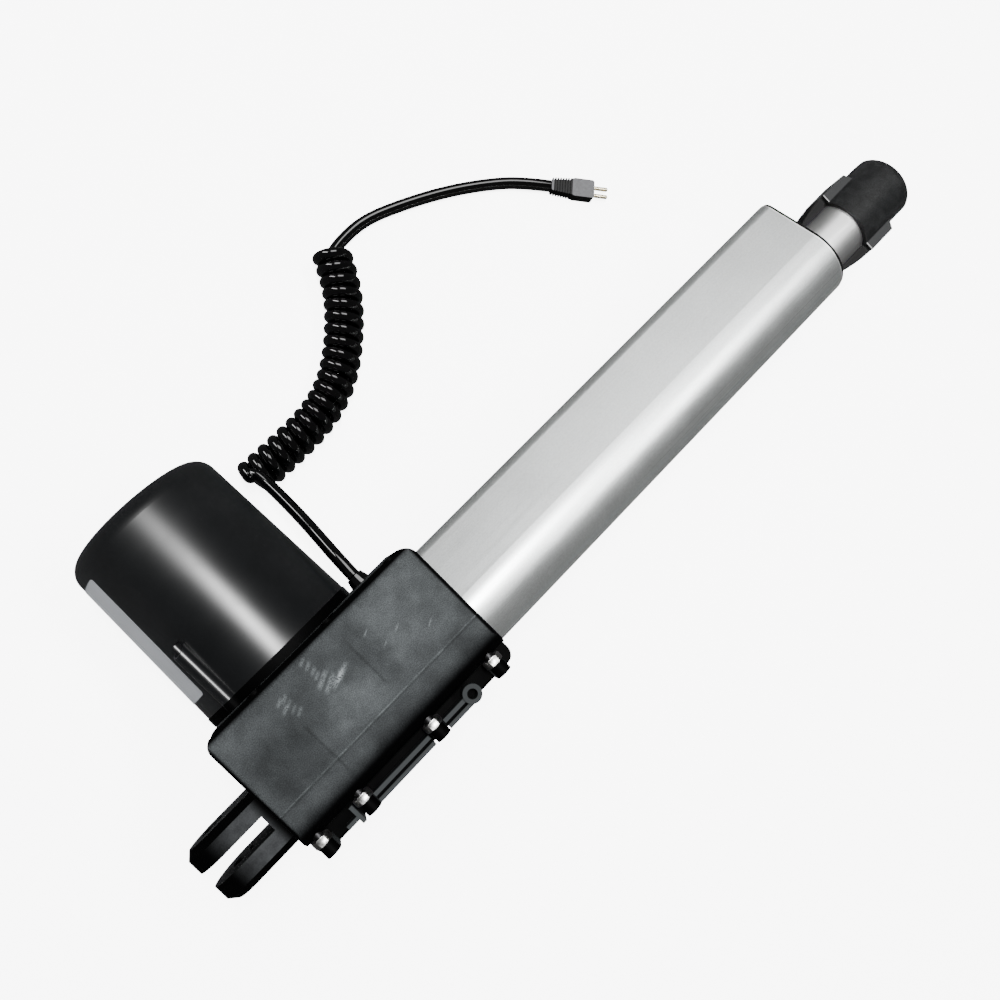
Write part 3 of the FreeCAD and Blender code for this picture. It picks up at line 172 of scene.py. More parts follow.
# Lamps in metres: name, place, aim and size
LAMPS = [("key", (0.0, 0.10, 1.1), (-0.08, 0.0, 0.0), (0.07, 0.32)),
         ("strip", (0.73, -0.37, 1.7), (0.05, -0.05, 0.07), (0.9, 0.14)),
         ("fill", (0.75, 0.8, 1.6), (0.0, 0.0, 0.0), (0.9, 0.9)),
         ("lead_light", (-0.087, 0.70, 0.45), (-0.087, 0.025, 0.03), (0.12, 0.5))]
FLOOR_SIZE = 6.0

# Camera: place and nearest view in metres, turn in degrees, lens and sensor in millimetres, and shift
CAMERA_PLACE = (-0.103476, -0.003493, 0.445154)
CAMERA_TURN = (4.6195, -10.6742, -45.4451)
CAMERA_LENS = 34.297
CAMERA_SENSOR = 36.0
CAMERA_SHIFT = (-0.00325, 0.01949)
CAMERA_NEAR = 0.02


class ActuatorLead(bpy.types.PropertyGroup):
    """Sizes of the curly lead."""
    diameter: FloatProperty(name="Lead diameter", description="Outside of the sheath", default=0.0057,
                            unit="LENGTH")
    coil_diameter: FloatProperty(name="Coil diameter", description="Outside of the turns", default=0.0186,
                                 unit="LENGTH")
    coil_turns: FloatProperty(name="Turns", description="Turns of the coil", default=20.5)
    turn_points: IntProperty(name="Points a turn", description="Control points in one turn", default=14)


class ActuatorFasteners(bpy.types.PropertyGroup):
    """Sizes of the clamp bolts, their nuts, the motor screws and the plug's pins."""
    across_flats: FloatProperty(name="Across flats", description="Width of a nut", default=0.007,
                                unit="LENGTH")
    nut_height: FloatProperty(name="Nut height", description="Thickness of a nut", default=0.0032,
                              unit="LENGTH")
    bolt_radius: FloatProperty(name="Bolt radius", description="Shank of a clamp bolt", default=0.002,
                               unit="LENGTH")
    bolt_head: FloatVectorProperty(name="Bolt head", description="Radius and height of a clamp bolt's head",
                                   size=2, default=(0.0036, 0.004), unit="LENGTH")
    screw_radius: FloatProperty(name="Screw radius", description="Shank of a motor screw", default=0.0017,
                                unit="LENGTH")
    screw_head: FloatVectorProperty(name="Screw head",
                                    description="Radius and height of a motor screw's head",
                                    size=2, default=(0.0026, 0.0024), unit="LENGTH")
    pitch: FloatProperty(name="Pitch", description="Thread pitch", default=0.0007, unit="LENGTH")
    pin_radius: FloatProperty(name="Pin radius", description="A pin of the plug", default=0.00095,
                              unit="LENGTH")
    pin_spacing: FloatProperty(name="Pin spacing", description="Between the pins' middles", default=0.0038,
                               unit="LENGTH")
    pin_ends: FloatVectorProperty(name="Pin ends", description="Root and tip of a pin, from the block's face",
                                  size=2, default=(-0.004, 0.0075), unit="LENGTH")


class ActuatorColours(bpy.types.PropertyGroup):
    """Colours of the finishes that show."""
    gearbox: FloatVectorProperty(name="Gearbox", description="Charcoal moulding", subtype="COLOR", size=4,
                                 default=(0.0295, 0.0322, 0.0333, 1))
    # This black stands in for shade wherever it is painted: rounded edges, the gearbox's ledge and far side,
    # the fork's root and tip, the connector's wings and the plug's sides. It is also the end cap's own black.
    edge: FloatVectorProperty(name="Moulded edges", description="Smooth black of the rounded edges",
                              subtype="COLOR", size=4, default=(0.0004, 0.0004, 0.00045, 1))
    motor: FloatVectorProperty(name="Motor cover", description="Glossy moulding", subtype="COLOR", size=4,
                               default=(0.0048, 0.0051, 0.0056, 1))
    label: FloatVectorProperty(name="Label", description="Bare silver label", subtype="COLOR", size=4,
                               default=(0.145, 0.151, 0.162, 1))
    tube: FloatVectorProperty(name="Outer tube", description="Anodised extrusion", subtype="COLOR", size=4,
                              default=(0.685, 0.705, 0.70, 1))
    push_tube: FloatVectorProperty(name="Push tube", description="Drawn tube", subtype="COLOR", size=4,
                                   default=(0.80, 0.80, 0.795, 1))
    fork: FloatVectorProperty(name="Fork", description="Matte moulding", subtype="COLOR", size=4,
                              default=(0.027, 0.0284, 0.0298, 1))
    connector: FloatVectorProperty(name="Connector", description="Matte moulding", subtype="COLOR", size=4,
                                   default=(0.0068, 0.007, 0.0072, 1))
    sheath: FloatVectorProperty(name="Lead", description="Glossy sheath", subtype="COLOR", size=4,
                                default=(0.0006, 0.0006, 0.0007, 1))
    plug: FloatVectorProperty(name="Plug", description="Grained block of the plug", subtype="COLOR", size=4,
                              default=(0.095, 0.095, 0.099, 1))


class ActuatorStage(bpy.types.PropertyGroup):
    """The studio."""
    key_power: FloatProperty(name="Key light", description="Power of the soft light overhead", default=20.0,
                             unit="POWER")
    strip_power: FloatProperty(name="Strip light", description="Power of the narrow light along the tubes",
                               default=24.0, unit="POWER")
    fill_power: FloatProperty(name="Fill light", description="Power of the wide light", default=14.0,
                              unit="POWER")
    lead_power: FloatProperty(name="Lead light",
                              description="Power of the soft light that only the lead receives",
                              default=2.4, unit="POWER")
    room: FloatProperty(name="Room light", description="Strength of the even light all round", default=0.08)
    glow: FloatProperty(name="Floor glow", description="Light that comes through the floor's paper",
                        default=6.5)
    floor: FloatVectorProperty(name="Floor", description="Colour of the floor", subtype="COLOR", size=4,
                               default=(0.95, 0.95, 0.95, 1))


class Finish:
    """A procedural finish on Object coordinates, built node by node round one Principled shader."""

    def __init__(self, name, **sockets):
        self.material = bpy.data.materials.new(name)
        self.material.use_nodes = True
        self.tree = self.material.node_tree
        self.shader = self.tree.nodes["Principled BSDF"]
        for socket, value in sockets.items():
            self.shader.inputs[socket.replace("_", " ")].default_value = value
        source = self.node("ShaderNodeTexCoord")
        self.place = source.outputs["Object"]
        self.normal = source.outputs["Normal"]

    def node(self, kind, **settings):
        made = self.tree.nodes.new(kind)
        for key, value in settings.items():
            setattr(made, key, value)
        return made

    def feed(self, socket, value):
        if isinstance(value, bpy.types.NodeSocket):
            self.tree.links.new(value, socket)
        else:
            socket.default_value = value

    def mapped(self, scale=(1, 1, 1), location=(0, 0, 0), rotation=(0, 0, 0)):
        """Object coordinates about a point, stretched and turned."""
        made = self.node("ShaderNodeMapping", vector_type="TEXTURE")
        self.feed(made.inputs["Vector"], self.place)
        made.inputs["Location"].default_value = location
        made.inputs["Rotation"].default_value = rotation
        made.inputs["Scale"].default_value = scale
        return made.outputs["Vector"]

    def noise(self, size, detail=3.0, roughness=0.55):
        """Noise whose features have a size in metres, or three sizes where they are drawn out."""
        sizes = (size, size, size) if isinstance(size, float) else size
        made = self.node("ShaderNodeTexNoise")
        self.feed(made.inputs["Vector"], self.mapped(sizes))
        made.inputs["Scale"].default_value = 1.0
        made.inputs["Detail"].default_value = detail
        made.inputs["Roughness"].default_value = roughness
        return made.outputs["Fac"]

    def between(self, source, low, high, to_low=0.0, to_high=1.0):
        """Carries a range of a value smoothly to another range."""
        made = self.node("ShaderNodeMapRange", interpolation_type="SMOOTHSTEP")
        self.feed(made.inputs["Value"], source)
        for socket, value in zip(("From Min", "From Max", "To Min", "To Max"), (low, high, to_low, to_high)):
            made.inputs[socket].default_value = value
        return made.outputs["Result"]

    def maths(self, operation, a, b):
        made = self.node("ShaderNodeMath", operation=operation)
        self.feed(made.inputs[0], a)
        self.feed(made.inputs[1], b)
        return made.outputs["Value"]

    def mix(self, factor, a, b):
        made = self.node("ShaderNodeMix", data_type="RGBA")
        self.feed(made.inputs["Factor"], factor)
        self.feed(made.inputs[6], a)
        self.feed(made.inputs[7], b)
        return made.outputs[2]

    def axis(self, index, location=(0, 0, 0), rotation=(0, 0, 0)):
        """One coordinate about a point."""
        made = self.node("ShaderNodeSeparateXYZ")
        self.feed(made.inputs["Vector"], self.mapped(location=location, rotation=rotation))
        return made.outputs[index]

    def patch(self, centre, half, soft, turn=0.0):
        """A mask that is one inside a turned box in X and Y about a point, with soft sides."""
        mask = 1.0
        for index in (0, 1):
            away = self.maths("ABSOLUTE", self.axis(index, (centre[0], centre[1], 0), (0, 0, turn)), 0.0)
            side = self.between(away, half[index] - soft[index], half[index] + soft[index], 1.0, 0.0)
            mask = self.maths("MULTIPLY", side, mask)
        return mask

    def ragged(self, mask, size):
        """A mask whose soft sides break up into blotches of a size."""
        spread = self.maths("MULTIPLY", self.noise(size, 5.0, 0.65), 1.4)
        return self.between(self.maths("ADD", mask, spread), 0.8, 1.9)

    def tint(self, mask, source, factor):
        """A colour made lighter or darker where a mask says."""
        made = self.node("ShaderNodeMix", data_type="RGBA", blend_type="MULTIPLY")
        self.feed(made.inputs["Factor"], mask)
        self.feed(made.inputs[6], source)
        self.feed(made.inputs[7], (factor, factor, factor, 1.0))
        return made.outputs[2]

    def upward(self, low, high):
        """A mask that is one on surfaces that face up."""
        made = self.node("ShaderNodeSeparateXYZ")
        self.feed(made.inputs["Vector"], self.normal)
        return self.between(made.outputs["Z"], low, high)

    def band(self, index, middle, half, soft):
        """A mask that is one near a value of one coordinate."""
        place = [0.0, 0.0, 0.0]
        place[index] = middle
        away = self.maths("ABSOLUTE", self.axis(index, place), 0.0)
        return self.between(away, half - soft, half + soft, 1.0, 0.0)

    def both(self, *masks):
        """The product of masks."""
        result = masks[0]
        for mask in masks[1:]:
            result = self.maths("MULTIPLY", result, mask)
        return result

    def colour(self, source):
        self.feed(self.shader.inputs["Base Color"], source)

    def rough(self, source):
        self.feed(self.shader.inputs["Roughness"], source)

    def blend(self, *parts):
        """The sum of values, each with its share."""
        result = 0.0
        for value, share in parts:
            result = self.maths("ADD", self.maths("MULTIPLY", value, share), result)
        return result

    def cloud(self, value, colour, spread):
        """Lets the colour go from darker to lighter over the middle of a noise."""
        share = self.between(value, *NOISE_MIDDLE)
        self.tone = self.mix(share, shade(colour, 1 - spread), shade(colour, 1 + spread))
        self.colour(self.tone)

    def bump(self, height, depth):
        """Raises a relief of a depth in metres."""
        made = self.node("ShaderNodeBump")
        made.inputs["Distance"].default_value = depth
        self.feed(made.inputs["Height"], height)
        self.feed(self.shader.inputs["Normal"], made.outputs["Normal"])


def shade(colour, factor):
    """A colour made lighter or darker."""
    return tuple(min(1.0, c * factor) for c in colour[:3]) + (1.0,)


def moulded(name, colour, rough=(0.45, 0.6), grain=0.0005, grain_depth=0.00002, mottle=0.012, spread=0.35,
            gloss=0.5):
    """A moulded plastic: a cloudy colour, a fine grain and a sheen over the range that is given."""
    finish = Finish(name, Specular_IOR_Level=gloss)
    cloud = finish.noise(mottle, detail=5.0)
    fine = finish.noise(grain, detail=2.0)
    speck = finish.blend((cloud, 0.65), (fine, 0.35))
    finish.cloud(speck, colour, spread)
    if rough:
        finish.rough(finish.between(speck, *NOISE_MIDDLE, *rough))
    finish.bump(fine, grain_depth)
    return finish


def drawn_metal(name, colour, rough=(0.28, 0.4), lines=0.00025, depth=0.000002, spread=0.03, metallic=1.0):
    """A metal with faint lines along X and a cloudy oxide film."""
    finish = Finish(name, Metallic=metallic)
    streak = finish.noise((0.08, lines, lines), detail=3.0)
    cloud = finish.noise(0.02, detail=4.0)
    speck = finish.noise(0.0004, detail=2.0)
    film = finish.blend((streak, 0.4), (cloud, 0.3), (speck, 0.3))
    finish.cloud(film, colour, spread)
    finish.rough(finish.between(film, *NOISE_MIDDLE, *rough))
    finish.bump(streak, depth)
    return finish


def turned_metal(name, colour, rough=(0.2, 0.35), spread=0.12):
    """A small turned or plated metal piece with a faint grain."""
    finish = Finish(name, Metallic=1.0)
    cloud = finish.noise(0.002, detail=4.0)
    fine = finish.noise(0.00015, detail=2.0)
    film = finish.blend((cloud, 0.6), (fine, 0.4))
    finish.cloud(film, colour, spread)
    finish.rough(finish.between(film, *NOISE_MIDDLE, *rough))
    finish.bump(fine, 0.000004)
    return finish


def dress(material, *nodes):
    """Gives a finish to the material slots of frame nodes."""
    for name in nodes:
        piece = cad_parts[name]
        for place in piece.material_slots:
            place.material = material


def link_lamp(lamp, piece, state):
    """Keeps a lamp off a piece with EXCLUDE, or lets it light such pieces alone with INCLUDE."""
    receivers = bpy.data.objects[lamp].light_linking.receiver_collection
    receivers.objects.link(piece)
    receivers.collection_objects[-1].light_linking.link_state = state


def spline_object(name, points, depth=0.0):
    """A NURBS curve along control points, round when it has a depth."""
    curve = bpy.data.curves.new(name, "CURVE")
    curve.dimensions = "3D"
    spline = curve.splines.new("NURBS")
    spline.points.add(len(points) - 1)
    for point, place in zip(spline.points, points):
        point.co = (*place, 1.0)
    spline.order_u = 3
    spline.use_endpoint_u = True
    spline.resolution_u = 6
    curve.resolution_u = 6
    curve.bevel_depth = depth
    curve.bevel_resolution = 6
    curve.use_fill_caps = True
    piece = bpy.data.objects.new(name, curve)
    bpy.context.collection.objects.link(piece)
    return piece


def spline_line(route):
    """Points along a route's NURBS line."""
    guide = spline_object("guide", route)
    bpy.context.view_layer.update()
    mesh = bpy.data.meshes.new_from_object(guide.evaluated_get(bpy.context.evaluated_depsgraph_get()))
    line = [vertex.co.copy() for vertex in mesh.vertices]
    bpy.data.meshes.remove(mesh)
    bpy.data.objects.remove(guide)
    return line


def curly_points(route, radius, turns, turn_points):
    """Left-hand turns about a route's line: from its top at the start to its bottom at the end."""
    line = spline_line(route)
    reached = [0.0]
    for before, after in zip(line, line[1:]):
        reached.append(reached[-1] + (after - before).length)
    count = round(turns * turn_points)
    reach = radius / math.cos(math.pi / turn_points)
    points = []
    step = 0
    for k in range(count + 1):
        along = reached[-1] * k / count
        while step < len(line) - 2 and reached[step + 1] < along:
            step += 1
        share = (along - reached[step]) / (reached[step + 1] - reached[step])
        ahead = (line[step + 1] - line[step]).normalized()
        side = ahead.cross(Vector((0, 0, 1)))
        turn = math.pi / 2 + 2 * math.pi * turns * k / count
        points.append(line[step].lerp(line[step + 1], share)
                      + side * reach * math.cos(turn) + Vector((0, 0, reach * math.sin(turn))))
    return points


def turned_blank(name, radius, start, end, centre, along=Vector((0, 1, 0)), vertices=48, spin=0.0):
    """A cylinder between two places along an axis through a point."""
    bpy.ops.object.select_all(action="DESELECT")
    facing = along.to_track_quat("Z", "Y") @ Quaternion((0, 0, 1), spin)
    bpy.ops.mesh.primitive_cylinder_add(vertices=vertices, radius=radius, depth=end - start,
                                        location=Vector(centre) + along * ((start + end) / 2),
                                        rotation=facing.to_euler())
    piece = bpy.context.object
    piece.name = name
    bpy.ops.object.transform_apply(location=True, rotation=True, scale=True)
    return piece


def pick(piece):
    """Selects one piece alone and makes it the active one."""
    bpy.ops.object.select_all(action="DESELECT")
    bpy.context.view_layer.objects.active = piece
    piece.select_set(True)


def select_vertices(piece, test):
    """Selects the vertices of the active piece that pass a test, and stays in edit mode."""
    bpy.ops.object.mode_set(mode="EDIT")
    bpy.ops.mesh.select_mode(type="VERT")
    bpy.ops.mesh.select_all(action="DESELECT")
    bpy.ops.object.mode_set(mode="OBJECT")
    for vertex in piece.data.vertices:
        vertex.select = test(vertex.co)
    bpy.ops.object.mode_set(mode="EDIT")


def soften_rim(piece, test, width, segments):
    """Bevels the edges between the vertices that pass a test."""
    select_vertices(piece, test)
    bpy.ops.mesh.select_mode(type="EDGE")
    bpy.ops.mesh.bevel(offset=width, segments=segments, affect="EDGES")
    bpy.ops.object.mode_set(mode="OBJECT")


def combine(piece, tool, operation):
    """Joins, cuts or trims a piece with a tool, which is used up."""
    pick(piece)
    change = piece.modifiers.new("combine", "BOOLEAN")
    change.operation = operation
    change.object = tool
    change.solver = "EXACT"
    bpy.ops.object.modifier_apply(modifier="combine")
    bpy.data.objects.remove(tool)


def cross_recess(piece, centre, face, size, depth):
    """Cuts a tapered cross into the end of a screw that faces along Y."""
    arm = size * RECESS_ARM
    middle = (centre[0], face, centre[2])
    for wide, tall in ((size, arm), (arm, size)):
        bpy.ops.object.select_all(action="DESELECT")
        bpy.ops.mesh.primitive_cube_add(size=1.0, location=middle, scale=(wide, depth * 2, tall))
        blade = bpy.context.object
        bpy.ops.object.transform_apply(location=True, rotation=True, scale=True)
        select_vertices(blade, lambda place: place.y < face)
        bpy.ops.transform.resize(value=(RECESS_TAPER, 1.0, RECESS_TAPER), center_override=middle)
        bpy.ops.object.mode_set(mode="OBJECT")
        combine(piece, blade, "DIFFERENCE")


def repeat(piece, steps):
    """Copies a piece by steps from its place, each copy with its own mesh, and joins the copies to it."""
    copies = []
    for step in steps:
        copy = piece.copy()
        copy.data = piece.data.copy()
        copy.data.transform(Matrix.Translation(step))
        bpy.context.collection.objects.link(copy)
        copies.append(copy)
    pick(piece)
    for copy in copies:
        copy.select_set(True)
    bpy.ops.object.join()
    bpy.ops.object.shade_smooth_by_angle(angle=FASTENER_SMOOTH)


def thread_rings(piece, centre, start, end, pitch):
    """Turns rings a pitch apart into the shank of a screw along Y, between two places."""
    count = int((end - start) / pitch)
    pick(piece)
    bpy.ops.object.mode_set(mode="EDIT")
    for k in range(2 * count + 1):
        bpy.ops.mesh.select_all(action="SELECT")
        bpy.ops.mesh.bisect(plane_co=(0, start + k * pitch / 2, 0), plane_no=(0, 1, 0))
    roots = [start + (k + 0.5) * pitch for k in range(count)]
    select_vertices(piece, lambda place: any(abs(place.y - root) < pitch / 20 for root in roots))
    bpy.ops.transform.resize(value=(1 - THREAD_DEPTH, 1.0, 1 - THREAD_DEPTH),
                             center_override=(centre[0], 0, centre[2]))
    bpy.ops.object.mode_set(mode="OBJECT")


def headed_screw(name, centre, radius, head, tip, seat):
    """A screw along Y with a chamfered tip and a rounded head with a cross recess."""
    wide, tall = head
    top = seat + tall
    screw = turned_blank(name, radius, tip, seat + tall / 2, centre)
    soften_rim(screw, lambda place: place.y < tip + NEAR, radius * TIP_CHAMFER, 1)
    cap = turned_blank("cap", wide, seat, top, centre)
    soften_rim(cap, lambda place: place.y > top - NEAR, tall * HEAD_ROUND, 4)
    combine(screw, cap, "UNION")
    cross_recess(screw, centre, top, wide * RECESS_WIDTH, tall * RECESS_DEPTH)
    return screw


def two_edged(mesh):
    """The places in a mesh's list of the vertices that have only two edges: the corners of a strip."""
    count = [0] * len(mesh.vertices)
    for edge in mesh.edges:
        for vertex in edge.vertices:
            count[vertex] += 1
    return [vertex for vertex, edges in enumerate(count) if edges == 2]


def label_sheet(name):
    """A thin sheet with round corners on the motor cover's cone."""
    near, far, length = COVER_TAPER
    bpy.ops.object.select_all(action="DESELECT")
    bpy.ops.mesh.primitive_cone_add(vertices=144, radius1=near, radius2=far, depth=length,
                                    end_fill_type="NOTHING", rotation=(-math.pi / 2, 0, 0),
                                    location=(MOTOR_X, COVER_START + length / 2, MOTOR_Z))
    label = bpy.context.object
    label.name = name
    bpy.ops.object.transform_apply(location=True, rotation=True, scale=True)
    cuts = [((0, end, 0), (0, 1, 0)) for end in LABEL_ENDS]
    for turn in LABEL_SIDES:
        cuts.append(((MOTOR_X, 0, MOTOR_Z), (-math.cos(turn), 0, -math.sin(turn))))
    bpy.ops.object.mode_set(mode="EDIT")
    for (place, normal), keep_far in zip(cuts, (True, False, True, False)):
        bpy.ops.mesh.select_all(action="SELECT")
        bpy.ops.mesh.bisect(plane_co=place, plane_no=normal, clear_inner=keep_far, clear_outer=not keep_far)
    bpy.ops.object.mode_set(mode="OBJECT")
    corners = two_edged(label.data)
    for vertex in label.data.vertices:
        vertex.select = vertex.index in corners
    bpy.ops.object.mode_set(mode="EDIT")
    bpy.ops.mesh.bevel(offset=LABEL_CORNER, segments=4, affect="VERTICES", clamp_overlap=True)
    bpy.ops.object.mode_set(mode="OBJECT")
    skin = label.modifiers.new("skin", "SOLIDIFY")
    skin.thickness = LABEL_THICKNESS
    skin.offset = 1.0
    bpy.ops.object.modifier_apply(modifier="skin")
    bpy.ops.object.shade_smooth_by_angle(angle=LABEL_SMOOTH)
    return label


class ACTUATOR_OT_stage(bpy.types.Operator):
    """Makes the floor, the lights and the camera"""
    bl_idname = "actuator.stage"
    bl_label = "Studio"

    def execute(self, context):
        sizes = context.scene.actuator_stage
        bpy.ops.object.select_all(action="DESELECT")
        bpy.ops.mesh.primitive_plane_add(size=FLOOR_SIZE)
        floor = context.object
        floor.name = "floor"
        paper = Finish("paper", Roughness=0.9, Emission_Color=sizes.floor, Emission_Strength=sizes.glow)
        paper.colour(paper.mix(paper.noise(0.4), shade(sizes.floor, 0.99), sizes.floor))
        floor.data.materials.append(paper.material)
        floor.visible_glossy = False
        powers = (sizes.key_power, sizes.strip_power, sizes.fill_power, sizes.lead_power)
        for (name, place, aim, size), power in zip(LAMPS, powers):
            bpy.ops.object.light_add(type="AREA", location=place)
            light = context.object
            light.name = name
            light.data.shape = "RECTANGLE"
            light.data.size, light.data.size_y = size
            light.data.energy = power
            light.light_linking.receiver_collection = bpy.data.collections.new(name + "_receivers")
            light.rotation_euler = (Vector(aim) - Vector(place)).to_track_quat("-Z", "Y").to_euler()
        for name in ("strip", "fill"):
            link_lamp(name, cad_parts["motor_cover"], "EXCLUDE")
        world = bpy.data.worlds.new("room")
        world.use_nodes = True
        back = world.node_tree.nodes["Background"]
        back.inputs["Color"].default_value = (1, 1, 1, 1)
        back.inputs["Strength"].default_value = sizes.room
        context.scene.world = world
        bpy.ops.object.camera_add(location=CAMERA_PLACE, rotation=[math.radians(a) for a in CAMERA_TURN])
        camera = context.object
        camera.data.lens = CAMERA_LENS
        camera.data.sensor_width = CAMERA_SENSOR
        camera.data.shift_x, camera.data.shift_y = CAMERA_SHIFT
        camera.data.clip_start = CAMERA_NEAR
        context.scene.camera = camera
        return {"FINISHED"}


class ACTUATOR_OT_plug(bpy.types.Operator):
    """Models the plug's pins and finishes the plug"""
    bl_idname = "actuator.plug"
    bl_label = "Plug"

    def execute(self, context):
        sizes = context.scene.actuator_fasteners
        colours = context.scene.actuator_colours
        heading = Vector((math.cos(PLUG_TURN), math.sin(PLUG_TURN), 0))
        across = Vector((-math.sin(PLUG_TURN), math.cos(PLUG_TURN), 0))
        root, tip = sizes.pin_ends
        centre = Vector(PLUG_START) + across * (sizes.pin_spacing / 2)
        pins = turned_blank("rounded_pins", sizes.pin_radius, PLUG_LENGTH + root, PLUG_LENGTH + tip, centre,
                            heading, vertices=24)
        end = centre.dot(heading) + PLUG_LENGTH + tip
        soften_rim(pins, lambda place: place.dot(heading) > end - NEAR, sizes.pin_radius * PIN_ROUND, 5)
        repeat(pins, [across * -sizes.pin_spacing])
        plate = turned_metal("pin_plate", (0.72, 0.64, 0.45, 1), rough=(0.3, 0.4))
        pins.data.materials.append(plate.material)
        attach(pins, "actuator_body")
        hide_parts("plug_pins")

        plug = moulded("plug_moulding", colours.plug, rough=(0.45, 0.55), grain=0.0003, mottle=0.0016,
                       spread=0.18, gloss=0.2)
        along = plug.axis(0, PLUG_START, (0, 0, PLUG_TURN))
        level = plug.upward(*LEAN_LEVEL)
        block = plug.between(along, PLUG_GRIP - PLUG_GRIP_EDGE, PLUG_GRIP + PLUG_GRIP_EDGE)
        collar = plug.between(along, *PLUG_COLLAR, 1.0, 0.0)
        # Painted shade: the block's sides are painted black. The grip is painted near black, and only the
        # block's level top and a thin collar keep the grey.
        dark_grip_and_shaded_sides = plug.mix(level, colours.edge, shade(colours.plug, 0.01))
        grip = plug.mix(plug.both(collar, level), dark_grip_and_shaded_sides, plug.tone)
        plug.colour(plug.mix(plug.both(block, level), grip, plug.tone))
        dress(plug.material, "plug_body")
        return {"FINISHED"}


class ACTUATOR_OT_lead(bpy.types.Operator):
    """Lays the curly lead from the gearbox to its plug"""
    bl_idname = "actuator.lead"
    bl_label = "Curly lead"

    def execute(self, context):
        sizes = context.scene.actuator_lead
        colours = context.scene.actuator_colours
        radius = (sizes.coil_diameter - sizes.diameter) / 2
        coil = curly_points(COIL_ROUTE, radius, sizes.coil_turns, sizes.turn_points)
        cord = spline_object("curly_lead", LEAD_ROUTE + coil + TAIL_ROUTE, sizes.diameter / 2)
        sheath = moulded("lead_sheath", colours.sheath, rough=(0.07, 0.11), grain=0.0008,
                         grain_depth=0.0000005, mottle=0.01, spread=0.25, gloss=0.85)
        cord.data.materials.append(sheath.material)
        dress(sheath.material, "cord_gland")
        for name in ("key", "strip"):
            link_lamp(name, cord, "EXCLUDE")
        link_lamp("lead_light", cord, "INCLUDE")
        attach(cord, "actuator_body")
        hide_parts("cord_lead", "cord_coil", "cord_tail")
        return {"FINISHED"}


class ACTUATOR_OT_fasteners(bpy.types.Operator):
    """Models the clamp bolts, their nuts and the motor screws"""
    bl_idname = "actuator.fasteners"
    bl_label = "Bolts, nuts and screws"

    def execute(self, context):
        sizes = context.scene.actuator_fasteners
        x, z = BOLT_PLACES[0]
        first = (x, 0, z)
        steps = [Vector((other[0] - x, 0, other[1] - z)) for other in BOLT_PLACES[1:]]
        back = NUT_BACK - sizes.nut_height
        corner = sizes.across_flats / math.sqrt(3)
        nuts = turned_blank("zinc_nuts", corner, back, NUT_BACK, first, vertices=6, spin=math.pi / 6)
        collar = turned_blank("collar", corner, back, NUT_BACK, first)
        soften_rim(collar, lambda place: place.y < back + NEAR, NUT_CHAMFER, 3)
        soften_rim(collar, lambda place: place.y > NUT_BACK - NEAR, NUT_CHAMFER, 3)
        combine(nuts, collar, "INTERSECT")
        bore = turned_blank("bore", sizes.bolt_radius * BORE_CLEARANCE, back - BORE_OVERRUN,
                            NUT_BACK + BORE_OVERRUN, first)
        combine(nuts, bore, "DIFFERENCE")
        repeat(nuts, steps)
        bolts = headed_screw("clamp_bolts_turned", first, sizes.bolt_radius, sizes.bolt_head, BOLT_TIP,
                             BOLT_SEAT)
        thread_rings(bolts, first, BOLT_TIP + sizes.bolt_radius * THREAD_START, back, sizes.pitch)
        repeat(bolts, steps)
        side = SCREW_CIRCLE * math.sin(SCREW_TURN)
        rise = SCREW_CIRCLE * math.cos(SCREW_TURN)
        upper = (MOTOR_X - side, 0, MOTOR_Z + rise)
        screws = headed_screw("motor_screws_turned", upper, sizes.screw_radius, sizes.screw_head, SCREW_TIP,
                              SCREW_SEAT)
        repeat(screws, [Vector((2 * side, 0, -2 * rise))])

        zinc = turned_metal("zinc_plate", (0.38, 0.38, 0.37, 1), rough=(0.26, 0.34), spread=0.06)
        oxide = turned_metal("black_oxide", (0.03, 0.03, 0.031, 1), rough=(0.35, 0.5))
        dress(zinc.material, "spindle_end_stop", "motor_can")
        for piece, finish, node, slot in ((nuts, zinc, "clamp_nuts", "zinc_steel"),
                                          (bolts, oxide, "clamp_bolts", "black_steel"),
                                          (screws, oxide, "motor_screws", "black_steel")):
            piece.data.materials.append(finish.material)
            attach(piece, "actuator_body")
            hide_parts(node)
        return {"FINISHED"}


